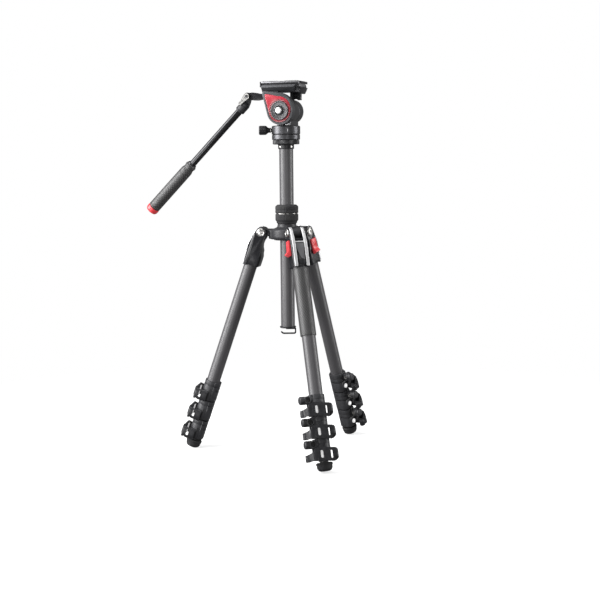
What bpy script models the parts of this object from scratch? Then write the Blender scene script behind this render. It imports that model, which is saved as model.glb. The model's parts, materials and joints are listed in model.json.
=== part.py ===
"""Travel tripod with a fluid head, pan bar and quick-release plate, legs collapsed and set up.

Metres, +Z up, standing on z = 0. The column stands at (AXIS_X, AXIS_Y); +X is the lens side,
the pan bar points towards -X, and the tilt axis runs along Y.
"""
import math

import bmesh
import bpy
from mathutils import Matrix

# ---- driving dimensions -------------------------------------------------------------
AXIS_X = 0.0728  # column axis, set so that the whole tripod's box is centred on the origin
AXIS_Y = -0.0155
GAP = 0.0003  # between pieces that touch
LEG_ANGLES = {"left": 190.76, "front": 310.76, "right": 70.76}  # degrees about Z
SPREAD = math.radians(18.93)  # of each leg from the vertical
HINGE_R = 0.0505  # leg hinges from the column axis
HINGE_Z = 0.447
LEG_OFFSET = 0.0022  # leg tube axis outside its hinge
KNUCKLE_R = 0.0105
CROWN_HALF = 0.017  # crown half width along its hinge
TONGUE_HALF = 0.0083  # spider arm half width
SLOT_HALF = 0.0088
BOLT_R = 0.004
BOLT_HEAD_R = 0.008
CROWN_END = 0.073  # down the leg
TUBE_R = (0.0135, 0.01175, 0.0100, 0.00825)  # the four leg sections, outermost first
TUBE_WALL = 0.0013
TUBE_TOP = (0.036, 0.060, 0.075, 0.090)  # upper end of each section, down the leg
LOCK_TOP = 0.324  # first flip lock, down the leg
LOCK_PITCH = 0.0425
LOCK_BAND = 0.0147  # upper part of a lock, round the outer tube
LOCK_R = 0.018
PIVOT_X, PIVOT_Y = 0.006, -0.033  # lever pivot from the tube axis: outward, sideways
PIVOT_R = 0.0055
PIN_R = 0.0019
FOOT_TOP = 0.4535
FOOT_R = 0.0162
FOOT_FLAT_R = 0.009
GRIP_TOP, GRIP_END, GRIP_R = 0.0735, 0.2080, 0.0153

COLUMN_R = 0.0140
COLUMN_WALL = 0.0014
COLUMN_LOW, COLUMN_HIGH = 0.2568, 0.6210
HOOK_TURN = math.radians(21.5)  # of the swivelling weight hook about the column
SPIDER_LOW, SPIDER_HIGH = 0.431, 0.457
TILT_Z = 0.6875  # tilt axis above the ground
PLATE_TOP = 0.7460
BAR_PIVOT = (-0.0757, 0.7175)  # X from the column axis, Z
BAR_Y = -0.010
BAR_DROP = math.radians(44.4)
BAR_OFFSET = 0.006  # of the bar's own line from its pivot, downwards
BAR_R = 0.007
BAR_LENGTH = 0.3203
BAR_GRIP = 0.1843  # grip's start along the bar
BAR_CAP = 0.3093  # end cap's start along the bar
KNOB_ANGLE = math.radians(201.5)
KNOB_Z = 0.650

ROUND = 20  # sides of the leg tubes and rings
HEAD_ROUND = 24  # sides of the column and head
SMALL_ROUND = 12
PIN_SIDES = 8

# ---- materials ----------------------------------------------------------------------
COLOURS = {  # colour, roughness, metallic
    "carbon": ((0.055, 0.055, 0.060), 0.38, 0.0),
    "moulding": ((0.030, 0.030, 0.033), 0.45, 0.0),
    "alloy": ((0.075, 0.077, 0.082), 0.42, 0.6),
    "steel": ((0.62, 0.61, 0.59), 0.22, 1.0),
    "red": ((0.80, 0.055, 0.065), 0.35, 0.0),
    "rubber": ((0.022, 0.022, 0.024), 0.75, 0.0),
    "leather": ((0.040, 0.038, 0.040), 0.60, 0.0),
    "chrome": ((0.50, 0.50, 0.52), 0.15, 1.0),
}


def material(name):
    """The Principled material of that name, made once."""
    found = bpy.data.materials.get(name)
    if found:
        return found
    colour, roughness, metallic = COLOURS[name]
    made = bpy.data.materials.new(name)
    made.use_nodes = True
    shader = made.node_tree.nodes["Principled BSDF"]
    shader.inputs["Base Color"].default_value = (*colour, 1.0)
    shader.inputs["Roughness"].default_value = roughness
    shader.inputs["Metallic"].default_value = metallic
    return made


# ---- modelling helpers --------------------------------------------------------------
def part(name, made, finish, frame, joint):
    """A named object from a bmesh, placed by frame and parented to its joint's empty."""
    mesh = bpy.data.meshes.new(name)
    bmesh.ops.recalc_face_normals(made, faces=made.faces)
    made.to_mesh(mesh)
    made.free()
    mesh.materials.append(material(finish))
    mesh.shade_smooth()
    mesh.set_sharp_from_angle(angle=math.radians(35))
    item = bpy.data.objects.new(name, mesh)
    bpy.context.collection.objects.link(item)
    item.matrix_world = frame
    if joint is not None:
        item.parent = joint
        item.matrix_parent_inverse = joint.matrix_world.inverted()
    return item


def tool(base, shape, operation):
    """Joins or cuts base with a hidden helper shape in the same frame."""
    name = f"{base.name}_{operation.lower()}_{len(base.modifiers)}"
    helper = part(name, shape, "steel", base.matrix_world.copy(), None)
    helper.parent = base.parent
    helper.matrix_parent_inverse = base.matrix_parent_inverse
    helper.hide_render = True
    helper.display_type = "WIRE"
    step = base.modifiers.new(operation.title(), "BOOLEAN")
    step.operation = operation
    step.object = helper
    step.solver = "EXACT"


def turned(profile, sides=ROUND, axis="Z", centre=(0, 0, 0)):
    """A solid turned about an axis; profile is (radius, height) points of one closed outline."""
    made = bmesh.new()
    rings = []
    for radius, height in profile:
        if radius == 0:
            rings.append([made.verts.new((0, 0, height))])
            continue
        turn = [2 * math.pi * i / sides for i in range(sides)]
        rings.append([made.verts.new((radius * math.cos(a), radius * math.sin(a), height))
                      for a in turn])
    pairs = list(zip(rings, rings[1:] + rings[:1]))
    for low, high in pairs:
        for i in range(sides):
            j = (i + 1) % sides
            corners = [low[i % len(low)], low[j % len(low)],
                       high[j % len(high)], high[i % len(high)]]
            corners = list(dict.fromkeys(corners))
            if len(corners) > 2:
                made.faces.new(corners)
    spin = {"Z": Matrix(), "Y": Matrix.Rotation(-math.pi / 2, 4, "X"),
            "X": Matrix.Rotation(math.pi / 2, 4, "Y")}[axis]
    bmesh.ops.transform(made, matrix=Matrix.Translation(centre) @ spin, verts=made.verts)
    return made


def tube(outer, inner, low, high, sides=ROUND):
    return turned([(outer, low), (outer, high), (inner, high), (inner, low)], sides)


def rod(radius, low, high, sides=SMALL_ROUND, axis="Z", centre=(0, 0, 0)):
    return turned([(0, low), (radius, low), (radius, high), (0, high)], sides, axis, centre)


def prism(outline, low, high, plane="XY"):
    """An outline extruded from low to high across its plane."""
    made = bmesh.new()
    place = {"XY": lambda a, b, h: (a, b, h), "XZ": lambda a, b, h: (a, h, b),
             "YZ": lambda a, b, h: (h, a, b)}[plane]
    base = [made.verts.new(place(a, b, low)) for a, b in outline]
    top = [made.verts.new(place(a, b, high)) for a, b in outline]
    made.faces.new(base)
    made.faces.new(top)
    for i in range(len(outline)):
        j = (i + 1) % len(outline)
        made.faces.new((base[i], base[j], top[j], top[i]))
    return made


def block(low, high):
    return prism([(low[0], low[1]), (high[0], low[1]), (high[0], high[1]), (low[0], high[1])],
                 low[2], high[2])


def arc(centre, radius, start, end, steps):
    """Points of an arc, from start to end in degrees."""
    turns = [math.radians(start + (end - start) * i / steps) for i in range(steps + 1)]
    return [(centre[0] + radius * math.cos(a), centre[1] + radius * math.sin(a)) for a in turns]


def empty(name, matrix, parent=None):
    made = bpy.data.objects.new(name, None)
    bpy.context.collection.objects.link(made)
    made.empty_display_size = 0.01
    made.matrix_world = matrix
    if parent is not None:
        made.parent = parent
        made.matrix_parent_inverse = parent.matrix_world.inverted()
    bpy.context.view_layer.update()
    return made


def at(matrix, x, y, z):
    return matrix @ Matrix.Translation((x, y, z))


# ---- legs ---------------------------------------------------------------------------
def crown(name, frame, joint):
    """The forked casting on top of a leg: x outward, y along its hinge, z up the leg."""
    front, back = LEG_OFFSET + 0.0165, LEG_OFFSET - 0.0165
    side = (arc((0, 0), KNUCKLE_R, 180, 15, 8)
            + [(front - 0.003, -0.014), (front, -0.026), (front, -CROWN_END)]
            + [(back, -CROWN_END), (back - 0.0035, -0.054), (back - 0.003, -0.043),
               (-0.0115, -0.026), (-0.0125, -0.012)])
    made = part(name, prism(side, -CROWN_HALF, CROWN_HALF, "XZ"), "moulding", frame, joint)
    rounding = made.modifiers.new("Rounding", "BEVEL")
    rounding.width = 0.003
    rounding.segments = 1
    rounding.angle_limit = math.radians(50)
    reach = 0.03
    tool(made, block((-reach, -SLOT_HALF, -0.0140), (reach, SLOT_HALF, 0.02)), "DIFFERENCE")
    socket = rod(TUBE_R[0] + GAP, -CROWN_END - 0.01, -TUBE_TOP[0] + GAP, ROUND,
                 centre=(LEG_OFFSET, 0, 0))
    tool(made, socket, "DIFFERENCE")
    tool(made, rod(BOLT_R + GAP, -reach, reach, axis="Y"), "DIFFERENCE")
    return made


def hinge_bolt(name, frame, joint):
    head = CROWN_HALF + 0.0023
    seat = CROWN_HALF + GAP
    profile = [(0, -head), (BOLT_HEAD_R, -head), (BOLT_HEAD_R, -seat), (BOLT_R, -seat),
               (BOLT_R, seat), (BOLT_HEAD_R, seat), (BOLT_HEAD_R, head), (0, head)]
    return part(name, turned(profile, SMALL_ROUND, "Y"), "steel", frame, joint)


ANGLE_LOCK_TOP = 0.018  # down the leg, where the angle lock pivots
ANGLE_LOCK_FACE = -(CROWN_HALF + GAP)  # its inner face, against the crown's side


def angle_lock(name, frame, joint):
    """The spring tab on the crown's side that sets how far the leg spreads."""
    face, top = ANGLE_LOCK_FACE, -ANGLE_LOCK_TOP
    side = [(face, top), (face, top - 0.0220), (face - 0.0080, top - 0.0295),
            (face - 0.0092, top - 0.0272), (face - 0.0034, top - 0.0205), (face - 0.0030, top)]
    return part(name, prism(side, -0.0035, 0.0075, "YZ"), "red", frame, joint)


def lock_profile(top, bore, outer_top):
    """Outline of a lock's ring below height -top, from outer_top at its upper rim."""
    return [(outer_top, -top), (LOCK_R - 0.0008, -top), (LOCK_R, -top - 0.0010),
            (LOCK_R, -top - LOCK_PITCH + 0.0006), (bore, -top - LOCK_PITCH + 0.0006)]


def lock_fittings(made, top):
    """The screw lug, the ear and the pin that a lock's lever turns on."""
    lug = [(-0.0030, -0.0150), (0.0105, -0.0150)] + arc((0.00375, -0.0290), 0.00675, 0, -180, 4)
    tool(made, prism(lug, -top - 0.0180, -top - 0.0050), "UNION")
    ear = [(0.0120, -0.0100), (0.0115, PIVOT_Y)]
    ear += arc((PIVOT_X, PIVOT_Y), PIVOT_R, -15, -165, 4) + [(-0.0020, -0.0150)]
    tool(made, prism(ear, -top - 0.0255, -top - 0.0195), "UNION")
    pin = rod(PIN_R, -top - 0.0410, -top - 0.0220, PIN_SIDES, centre=(PIVOT_X, PIVOT_Y, 0))
    tool(made, pin, "UNION")


def lock_ring(name, top, frame, joint):
    """The first lock, a separate ring on the fixed tube."""
    seat, bore = TUBE_R[0] + GAP, TUBE_R[1] + GAP
    shoulder = -top - LOCK_BAND
    profile = lock_profile(top, bore, seat) + [(bore, shoulder), (seat, shoulder)]
    made = part(name, turned(profile), "moulding", frame, joint)
    lock_fittings(made, top)
    return made


def lock_section(name, number, top, frame, joint):
    """A sliding tube with the next lock moulded on its lower end."""
    outer, inner = TUBE_R[number], TUBE_R[number] - TUBE_WALL
    bore = TUBE_R[number + 1] + GAP
    shoulder = -top - LOCK_BAND
    profile = ([(outer, -TUBE_TOP[number])] + lock_profile(top, bore, outer)
               + [(bore, shoulder), (inner, shoulder), (inner, -TUBE_TOP[number])])
    made = part(name, turned(profile), "carbon", frame, joint)
    lock_fittings(made, top)
    return made


def lever(name, top, frame, joint):
    """The flip lever: a pierced band that wraps the outward side of its lock."""
    high, low = -top - 0.0160, -top - 0.0423
    band = [(0.0232, -0.0260), (0.0272, -0.0280), (0.0276, 0.0120), (0.0287, 0.0194),
            (0.0252, 0.0224), (0.0120, 0.0222), (0.0000, 0.0215), (0.0000, 0.0190),
            (0.0195, 0.0190), (0.0232, 0.0150)]
    made = part(name, prism(band, low, high), "moulding", frame, joint)
    root = [(0.0272, -0.0200), (0.0232, -0.0200), (0.0230, -0.0270), (0.0170, -0.0320)]
    root += [(0.0110, -0.0310)] + arc((PIVOT_X, PIVOT_Y), PIVOT_R, 20, 340, 8)
    root += [(0.0190, -0.0370), (0.0272, -0.0285)]
    tool(made, prism(root, low, -top - 0.0262), "UNION")
    tool(made, rod(PIN_R + GAP, low - 0.01, high, PIN_SIDES, centre=(PIVOT_X, PIVOT_Y, 0)), "DIFFERENCE")
    middle = (high + low) / 2
    for y in (-0.0110, 0.0080):
        tool(made, block((0.02, y - 0.0033, middle - 0.007), (0.04, y + 0.0033, middle + 0.007)),
             "DIFFERENCE")
    tool(made, block((0.0125, 0.015, middle - 0.007), (0.0190, 0.030, middle + 0.007)),
         "DIFFERENCE")
    return made


def foot(name, frame, joint):
    """The rubber foot, closed below, whose lowest edge touches z = 0."""
    drop = LEG_OFFSET * math.sin(SPREAD) - FOOT_FLAT_R * math.sin(SPREAD)
    bottom = (HINGE_Z + drop) / math.cos(SPREAD)
    socket = TUBE_R[3] + GAP
    seat = FOOT_TOP + 0.005
    profile = [(socket, -FOOT_TOP), (FOOT_R - 0.001, -FOOT_TOP), (FOOT_R, -FOOT_TOP - 0.002),
               (FOOT_R, -bottom + 0.0065), (0.0138, -bottom + 0.0025), (FOOT_FLAT_R, -bottom),
               (0, -bottom), (0, -seat), (socket, -seat)]
    return part(name, turned(profile), "rubber", frame, joint)


def leg(side, angle, root):
    """One leg: crown, bolt, angle lock, four tube sections, three locks with levers, foot."""
    turn = Matrix.Rotation(math.radians(angle), 4, "Z") @ Matrix.Translation((HINGE_R, 0, 0))
    place = Matrix.Translation((AXIS_X, AXIS_Y, HINGE_Z)) @ turn
    hinge = place @ Matrix.Rotation(-SPREAD, 4, "Y")
    tube_frame = at(hinge, LEG_OFFSET, 0, 0)
    joint = empty(f"{side}_leg_hinge", hinge, root)
    crown(f"{side}_crown", hinge, joint)
    hinge_bolt(f"{side}_hinge_bolt", hinge, joint)
    lock_joint = empty(f"{side}_angle_lock_hinge", at(hinge, 0, ANGLE_LOCK_FACE, -ANGLE_LOCK_TOP), joint)
    angle_lock(f"{side}_angle_lock", hinge, lock_joint)
    first = tube(TUBE_R[0], TUBE_R[0] - TUBE_WALL, -LOCK_TOP - LOCK_BAND + GAP, -TUBE_TOP[0])
    part(f"{side}_tube_1", first, "carbon", tube_frame, joint)
    if side == "front":
        sleeve = tube(GRIP_R, TUBE_R[0] + GAP, -GRIP_END, -GRIP_TOP)
        part("leg_grip", sleeve, "leather", tube_frame, joint)
    carrier = joint
    for number in range(3):
        top = LOCK_TOP + number * LOCK_PITCH
        if number == 0:
            lock_ring(f"{side}_lock_1", top, tube_frame, carrier)
        else:
            carrier = empty(f"{side}_slide_{number}", tube_frame, carrier)
            lock_section(f"{side}_section_{number + 1}", number, top, tube_frame, carrier)
        pivot = empty(f"{side}_lever_{number + 1}_pivot",
                      at(tube_frame, PIVOT_X, PIVOT_Y, -top - 0.03), carrier)
        lever(f"{side}_lever_{number + 1}", top, tube_frame, pivot)
    carrier = empty(f"{side}_slide_3", tube_frame, carrier)
    last = tube(TUBE_R[3], TUBE_R[3] - TUBE_WALL, -FOOT_TOP - 0.0047, -TUBE_TOP[3])
    part(f"{side}_tube_4", last, "carbon", tube_frame, carrier)
    foot(f"{side}_foot", tube_frame, carrier)


# ---- spider and centre column -------------------------------------------------------
def spider(frame, root):
    """The hub: a bored body with three arms, each ending in a drilled knuckle."""
    bore = COLUMN_R + GAP
    profile = [(bore, SPIDER_LOW), (0.0260, SPIDER_LOW), (0.0310, 0.4360), (0.0310, 0.4500),
               (0.0270, 0.4550), (0.0185, SPIDER_HIGH), (0.0185, 0.4635), (bore, 0.4635)]
    made = part("spider", turned(profile, HEAD_ROUND), "alloy", frame, root)
    arm = [(0.0200, -0.0145), (0.0300, -0.0145), (0.0385, -0.0068)]
    arm += arc((HINGE_R, 0), 0.0100, -140, 140, 8) + [(0.0385, 0.0068), (0.0200, 0.0068)]
    for angle in LEG_ANGLES.values():
        turn = Matrix.Translation((0, 0, HINGE_Z)) @ Matrix.Rotation(math.radians(angle), 4, "Z")
        shape = prism(arm, -TONGUE_HALF, TONGUE_HALF, "XZ")
        bmesh.ops.transform(shape, matrix=turn, verts=shape.verts)
        tool(made, shape, "UNION")
        hole = rod(BOLT_R + GAP, -0.02, 0.02, axis="Y", centre=(HINGE_R, 0, 0))
        bmesh.ops.transform(hole, matrix=turn, verts=hole.verts)
        tool(made, hole, "DIFFERENCE")
    tool(made, rod(bore, 0.42, 0.47, HEAD_ROUND), "DIFFERENCE")


def collars(frame, root):
    bore = COLUMN_R + GAP
    lower = [(bore, 0.4638), (0.0195, 0.4638), (0.0205, 0.4690), (0.0230, 0.4715),
             (0.0230, 0.4825), (0.0222, 0.4840), (bore, 0.4840)]
    upper = [(bore, 0.4844), (0.0222, 0.4844), (0.0230, 0.4859), (0.0230, 0.4995),
             (0.0195, 0.5021), (bore, 0.5021)]
    turn = empty("sleeve_lock_turn", frame, root)
    part("sleeve_lock_ring", turned(lower, HEAD_ROUND), "rubber", frame, turn)
    turn = empty("column_lock_turn", frame, root)
    part("column_lock_collar", turned(upper, HEAD_ROUND), "rubber", frame, turn)


def column(frame, slide):
    inner = COLUMN_R - COLUMN_WALL
    part("column_tube", tube(COLUMN_R, inner, COLUMN_LOW, COLUMN_HIGH, HEAD_ROUND), "carbon", frame, slide)
    socket = COLUMN_R + GAP
    plate = [(0, 0.6305), (0, 0.6215), (socket, 0.6215), (socket, 0.6127), (0.0160, 0.6127),
             (0.0160, 0.6218), (0.0265, 0.6218), (0.0265, 0.6305)]
    part("column_top_plate", turned(plate, HEAD_ROUND), "alloy", frame, slide)
    plug = inner - GAP
    stem = 0.0025
    cap = [(stem, 0.2530), (0.0165, 0.2530), (0.0165, 0.2565), (plug, 0.2565), (plug, 0.2700),
           (stem, 0.2700)]
    part("hook_cap", turned(cap), "moulding", frame, slide)
    swivel = frame @ Matrix.Rotation(HOOK_TURN, 4, "Z")
    turn = empty("hook_swivel", swivel, slide)
    bar = [(-0.0040, 0.2527), (0.0160, 0.2527), (0.0165, 0.2520), (0.0165, 0.2430),
           (0.0140, 0.2405), (-0.0105, 0.2405), (-0.0150, 0.2445), (-0.0132, 0.2465),
           (-0.0095, 0.2432), (0.0125, 0.2432), (0.0138, 0.2445), (0.0138, 0.2503),
           (-0.0040, 0.2503)]
    hook = part("weight_hook", prism(bar, -0.003, 0.003, "XZ"), "moulding", swivel, turn)
    tool(hook, rod(stem - GAP, 0.2515, 0.2650, PIN_SIDES), "UNION")


# ---- fluid head ---------------------------------------------------------------------
def pan_base(frame, slide, pan):
    base = [(0, 0.6308), (0.0280, 0.6308), (0.0280, 0.6410), (0.0090, 0.6410), (0.0090, 0.6500),
            (0, 0.6500)]
    part("head_base", turned(base, HEAD_ROUND), "alloy", frame, slide)
    post = 0.0093
    ring = [(post, 0.6413), (0.0270, 0.6413), (0.0285, 0.6425), (0.0285, 0.6572), (0.0272, 0.6587),
            (0, 0.6587), (0, 0.6505), (post, 0.6505)]
    made = part("pan_housing", turned(ring, HEAD_ROUND), "alloy", frame, pan)
    tool(made, block((-0.0140, -0.0143, 0.6571), (0.0140, 0.0347, 0.6752)), "UNION")
    drum = turned([(0, -0.0195), (0.0225, -0.0195), (0.0240, -0.0180), (0.0240, 0.0380),
                   (0.0215, 0.0405), (0, 0.0405)], HEAD_ROUND, "Y", (0, 0, TILT_Z))
    tool(made, drum, "UNION")
    tool(made, rod(0.0065, -0.03, 0.05, ROUND - 2, "Y", (0, 0, TILT_Z)), "DIFFERENCE")
    aim = Matrix.Translation((0, 0, KNOB_Z)) @ Matrix.Rotation(KNOB_ANGLE, 4, "Z")
    hole = rod(0.0038, 0.0210, 0.040, SMALL_ROUND, "X")
    bmesh.ops.transform(hole, matrix=aim, verts=hole.verts)
    tool(made, hole, "DIFFERENCE")
    knob = [(0, 0.0215), (0.0035, 0.0215), (0.0035, 0.0300), (0.0046, 0.0310), (0.0052, 0.0360),
            (0.0080, 0.0390), (0.0092, 0.0420), (0.0092, 0.0520), (0.0078, 0.0540), (0, 0.0540)]
    turn = empty("pan_lock_turn", frame @ aim, pan)
    shape = turned(knob, SMALL_ROUND, "X")
    bmesh.ops.transform(shape, matrix=aim, verts=shape.verts)
    part("pan_lock_knob", shape, "moulding", frame, turn)


def tilt_side(radius, tip_x, tip_z, tip_r, shoulder):
    """The teardrop: a circle about the tilt axis drawn out to a rounded tip above and behind."""
    return ([(x, TILT_Z + z) for x, z in shoulder] + arc((0, TILT_Z), radius, 12, -160, 14)
            + arc((tip_x + tip_r, TILT_Z + tip_z - tip_r), tip_r, 190, 90, 4))


def tilt_head(frame, tilt):
    """Side plate, platform and bracket in one casting, with the axle stub."""
    low, crest, high = 0.7245, 0.7337, 0.7393
    cross = [(-0.0200, low), (-0.0275, crest), (-0.0240, high), (-0.0150, high),
             (-0.0178, 0.7340), (0.0178, 0.7340), (0.0150, high), (0.0240, high),
             (0.0275, crest), (0.0200, low)]
    made = part("tilt_frame", prism(cross, -0.0415, 0.0345, "YZ"), "alloy", frame, tilt)
    shoulder = [(-0.0160, 0.0385), (-0.0058, 0.0356), (0.0092, 0.0322), (0.0199, 0.0242),
                (0.0250, 0.0150)]
    outline = tilt_side(0.0275, -0.0370, 0.0385, 0.004, shoulder)
    tool(made, prism(outline, -0.0330, -0.0200, "XZ"), "UNION")
    tool(made, block((-0.0350, -0.0210, 0.7200), (-0.0080, -0.0150, 0.7260)), "UNION")
    tool(made, block((0.0025, 0.0180, 0.7130), (0.0245, 0.0262, 0.7262)), "UNION")
    tool(made, block((-0.0395, -0.0205, 0.7095), (-0.0260, -0.0020, 0.7260)), "UNION")
    end = [(-0.0145, 0.7335), (-0.0145, 0.7290), (-0.0118, 0.7206), (0.0125, 0.7206),
           (0.0270, 0.7318), (0.0270, 0.7335)]
    tool(made, prism(end, 0.0330, 0.0368, "YZ"), "UNION")
    axle = rod(0.0061, -0.0210, 0.0420, axis="Y", centre=(0, 0, TILT_Z))
    tool(made, axle, "UNION")
    knob_hole = rod(0.0033, 0.0195, 0.0300, SMALL_ROUND, "Y", (0.0050, 0, 0.7310))
    tool(made, knob_hole, "DIFFERENCE")
    face = -0.0333
    shoulder = [(-0.0170, 0.0330), (-0.0036, 0.0290), (0.0074, 0.0257), (0.0167, 0.0183)]
    panel = tilt_side(0.0229, -0.0315, 0.0330, 0.003, shoulder)
    trim = part("red_trim", prism(panel, face - 0.0012, face, "XZ"), "red", frame, tilt)
    tool(trim, rod(0.0190, -0.05, 0.0, HEAD_ROUND, "Y", (0, 0, TILT_Z)), "DIFFERENCE")
    centre = (0, 0, TILT_Z)
    turn = empty("tilt_dial_turn", at(frame, *centre), tilt)
    dial = [(0.0096, face), (0.0186, face), (0.0186, -0.0352), (0.0165, -0.0372),
            (0.0110, -0.0360), (0.0096, -0.0352)]
    part("tilt_dial", turned(dial, ROUND, "Y", centre), "steel", frame, turn)
    push = empty("tilt_button_push", at(frame, *centre), tilt)
    button = [(0, -0.0350), (0.0064, -0.0350), (0.0064, -0.0408), (0.0054, -0.0415), (0, -0.0415)]
    part("tilt_button", turned(button, SMALL_ROUND, "Y", centre), "steel", frame, push)


def plate_and_screw(frame, tilt):
    """Quick-release plate on its dovetail, the camera screw in it, and its clamping knob."""
    slide = empty("plate_slide", at(frame, 0, 0, 0.74), tilt)
    under, seat = 0.7396, 0.7345
    cross = [(-0.0172, seat), (-0.0147, 0.7390), (-0.0147, under), (-0.0215, under),
             (-0.0262, 0.7425), (-0.0262, PLATE_TOP - 0.0006), (-0.0256, PLATE_TOP),
             (0.0256, PLATE_TOP), (0.0262, PLATE_TOP - 0.0006), (0.0262, 0.7425),
             (0.0215, under), (0.0147, under), (0.0147, 0.7390), (0.0172, seat)]
    made = part("quick_release_plate", prism(cross, -0.0420, 0.0355, "YZ"), "alloy", frame, slide)
    tool(made, rod(0.0105, 0.7300, 0.7420, ROUND), "DIFFERENCE")
    tool(made, rod(0.0035, 0.7400, 0.7500, SMALL_ROUND), "DIFFERENCE")
    pin = rod(0.0020, 0.7440, 0.7472, PIN_SIDES, centre=(-0.0350, 0, 0))
    tool(made, pin, "UNION")
    tool(made, block((-0.0445, -0.0262, 0.7345), (-0.0418, -0.0180, 0.7455)), "UNION")
    screw = [(0, 0.7352), (0.0100, 0.7352), (0.0100, 0.7415), (0.0031, 0.7415), (0.0031, 0.7474),
             (0, 0.7474)]
    turn = empty("camera_screw_turn", at(frame, 0, 0, 0.74), slide)
    part("camera_screw", turned(screw, SMALL_ROUND), "steel", frame, turn)
    knob = [(0, 0.0205), (0.0030, 0.0205), (0.0030, 0.0290), (0.0075, 0.0290), (0.0085, 0.0310),
            (0.0085, 0.0390), (0.0070, 0.0410), (0, 0.0410)]
    turn = empty("plate_lock_turn", at(frame, 0.005, 0, 0.7310), tilt)
    part("plate_lock_knob", turned(knob, SMALL_ROUND, "Y", (0.0050, 0, 0.7310)), "moulding", frame, turn)


def pan_bar(frame, tilt):
    """Elbow, clamp, lock lever, tube, grip and end cap; the bar's own x runs down its length."""
    px, pz = BAR_PIVOT
    wide = 0.0060
    elbow = [(-0.0400, pz - 0.0060), (-0.0400, pz + 0.0050), (-0.0577, pz + 0.0062)]
    elbow += arc((px, pz), 0.0080, 50, 310, 12) + [(-0.0577, pz - 0.0058)]
    made = part("bar_elbow", prism(elbow, BAR_Y - wide, BAR_Y + wide, "XZ"), "moulding", frame, tilt)
    tool(made, rod(0.0033, -0.05, 0.05, axis="Y", centre=(px, 0, pz)), "DIFFERENCE")
    tool(made, block((-0.1, BAR_Y - 0.0030, pz - 0.03), (-0.0597, BAR_Y + 0.0030, pz + 0.03)),
         "DIFFERENCE")
    pivot = Matrix.Translation((px, BAR_Y, pz)) @ Matrix.Rotation(math.pi - BAR_DROP, 4, "Y")
    fold = empty("bar_fold", frame @ pivot, tilt)
    bar_frame = frame @ pivot
    line = (0, 0, BAR_OFFSET)
    body = arc((0, 0), 0.0078, 100, 260, 8) + [(0.0150, -0.0035), (0.0150, 0.0150), (0.0075, 0.0125)]
    clamp = part("bar_clamp", prism(body, -0.0027, 0.0027, "XZ"), "moulding", bar_frame, fold)
    barrel = [(0, 0.0110), (0.0075, 0.0110), (0.0098, 0.0150), (0.0098, 0.0330), (0.0088, 0.0340),
              (0, 0.0340)]
    tool(clamp, turned(barrel, ROUND, "X", line), "UNION")
    tool(clamp, rod(0.0033, -0.02, 0.02, axis="Y"), "DIFFERENCE")
    tool(clamp, rod(BAR_R + GAP, 0.0220, 0.05, ROUND, "X", line), "DIFFERENCE")
    tube_shape = rod(BAR_R, 0.0223, BAR_CAP - GAP, ROUND, "X", line)
    part("pan_bar", tube_shape, "chrome", bar_frame, fold)
    start, end = BAR_GRIP, BAR_CAP - GAP
    inner = BAR_R + GAP
    grip = [(inner, start), (0.0095, start), (0.0115, start + 0.004), (0.0105, start + 0.012),
            (0.0122, start + 0.018), (0.0126, end - 0.05), (0.0126, end), (inner, end)]
    part("bar_grip", turned(grip, ROUND, "X", line), "leather", bar_frame, fold)
    cap = [(0, BAR_CAP), (0.0126, BAR_CAP), (0.0128, BAR_LENGTH - 0.003), (0.0110, BAR_LENGTH),
           (0, BAR_LENGTH)]
    part("grip_end_cap", turned(cap, ROUND, "X", line), "red", bar_frame, fold)
    near = -0.0101  # sideways from the bar's own line, past the clamp's barrel
    wing = arc((0, 0), 0.0062, 60, 300, 10) + [(0.0215, -0.0032), (0.0232, 0.0), (0.0215, 0.0032)]
    lock_turn = empty("bar_lock_turn", bar_frame, fold)
    side = part("bar_lock_lever", prism(wing, near - 0.0025, near, "XZ"), "steel", bar_frame,
                lock_turn)
    tool(side, rod(0.0052, near - 0.0010, -wide - GAP, axis="Y"), "UNION")
    tool(side, rod(0.0030, near, 0.0080, axis="Y"), "UNION")
    tool(side, rod(0.0050, wide + GAP, 0.0085, axis="Y"), "UNION")


# ---- assembly -----------------------------------------------------------------------
def build():
    for item in list(bpy.data.objects):
        bpy.data.objects.remove(item)
    frame = Matrix.Translation((AXIS_X, AXIS_Y, 0))
    root = empty("tripod", frame)
    for side, angle in LEG_ANGLES.items():
        leg(side, angle, root)
    spider(frame, root)
    collars(frame, root)
    slide = empty("column_slide", frame, root)
    column(frame, slide)
    pan = empty("head_pan", at(frame, 0, 0, KNOB_Z), slide)
    pan_base(frame, slide, pan)
    tilt = empty("head_tilt", at(frame, 0, 0, TILT_Z), pan)
    tilt_head(frame, tilt)
    plate_and_screw(frame, tilt)
    pan_bar(frame, tilt)


build()
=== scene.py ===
import json
import math

import bmesh
import bpy
from mathutils import Matrix, Vector


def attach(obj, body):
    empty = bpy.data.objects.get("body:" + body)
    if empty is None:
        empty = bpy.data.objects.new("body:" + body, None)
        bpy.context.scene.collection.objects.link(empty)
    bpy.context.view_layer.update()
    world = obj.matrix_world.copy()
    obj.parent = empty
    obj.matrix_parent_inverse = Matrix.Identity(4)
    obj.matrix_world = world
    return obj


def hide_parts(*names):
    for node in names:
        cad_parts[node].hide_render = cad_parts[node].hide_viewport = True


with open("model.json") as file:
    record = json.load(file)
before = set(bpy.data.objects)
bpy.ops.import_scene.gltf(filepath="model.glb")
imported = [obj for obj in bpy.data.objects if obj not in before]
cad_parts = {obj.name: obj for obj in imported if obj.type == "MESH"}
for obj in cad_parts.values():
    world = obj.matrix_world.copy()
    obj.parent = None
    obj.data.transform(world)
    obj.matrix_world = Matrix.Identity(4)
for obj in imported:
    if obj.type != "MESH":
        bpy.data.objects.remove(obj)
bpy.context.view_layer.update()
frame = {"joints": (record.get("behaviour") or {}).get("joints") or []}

MM = 0.001  # every shape below is drawn in millimetres and placed in metres
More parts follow.
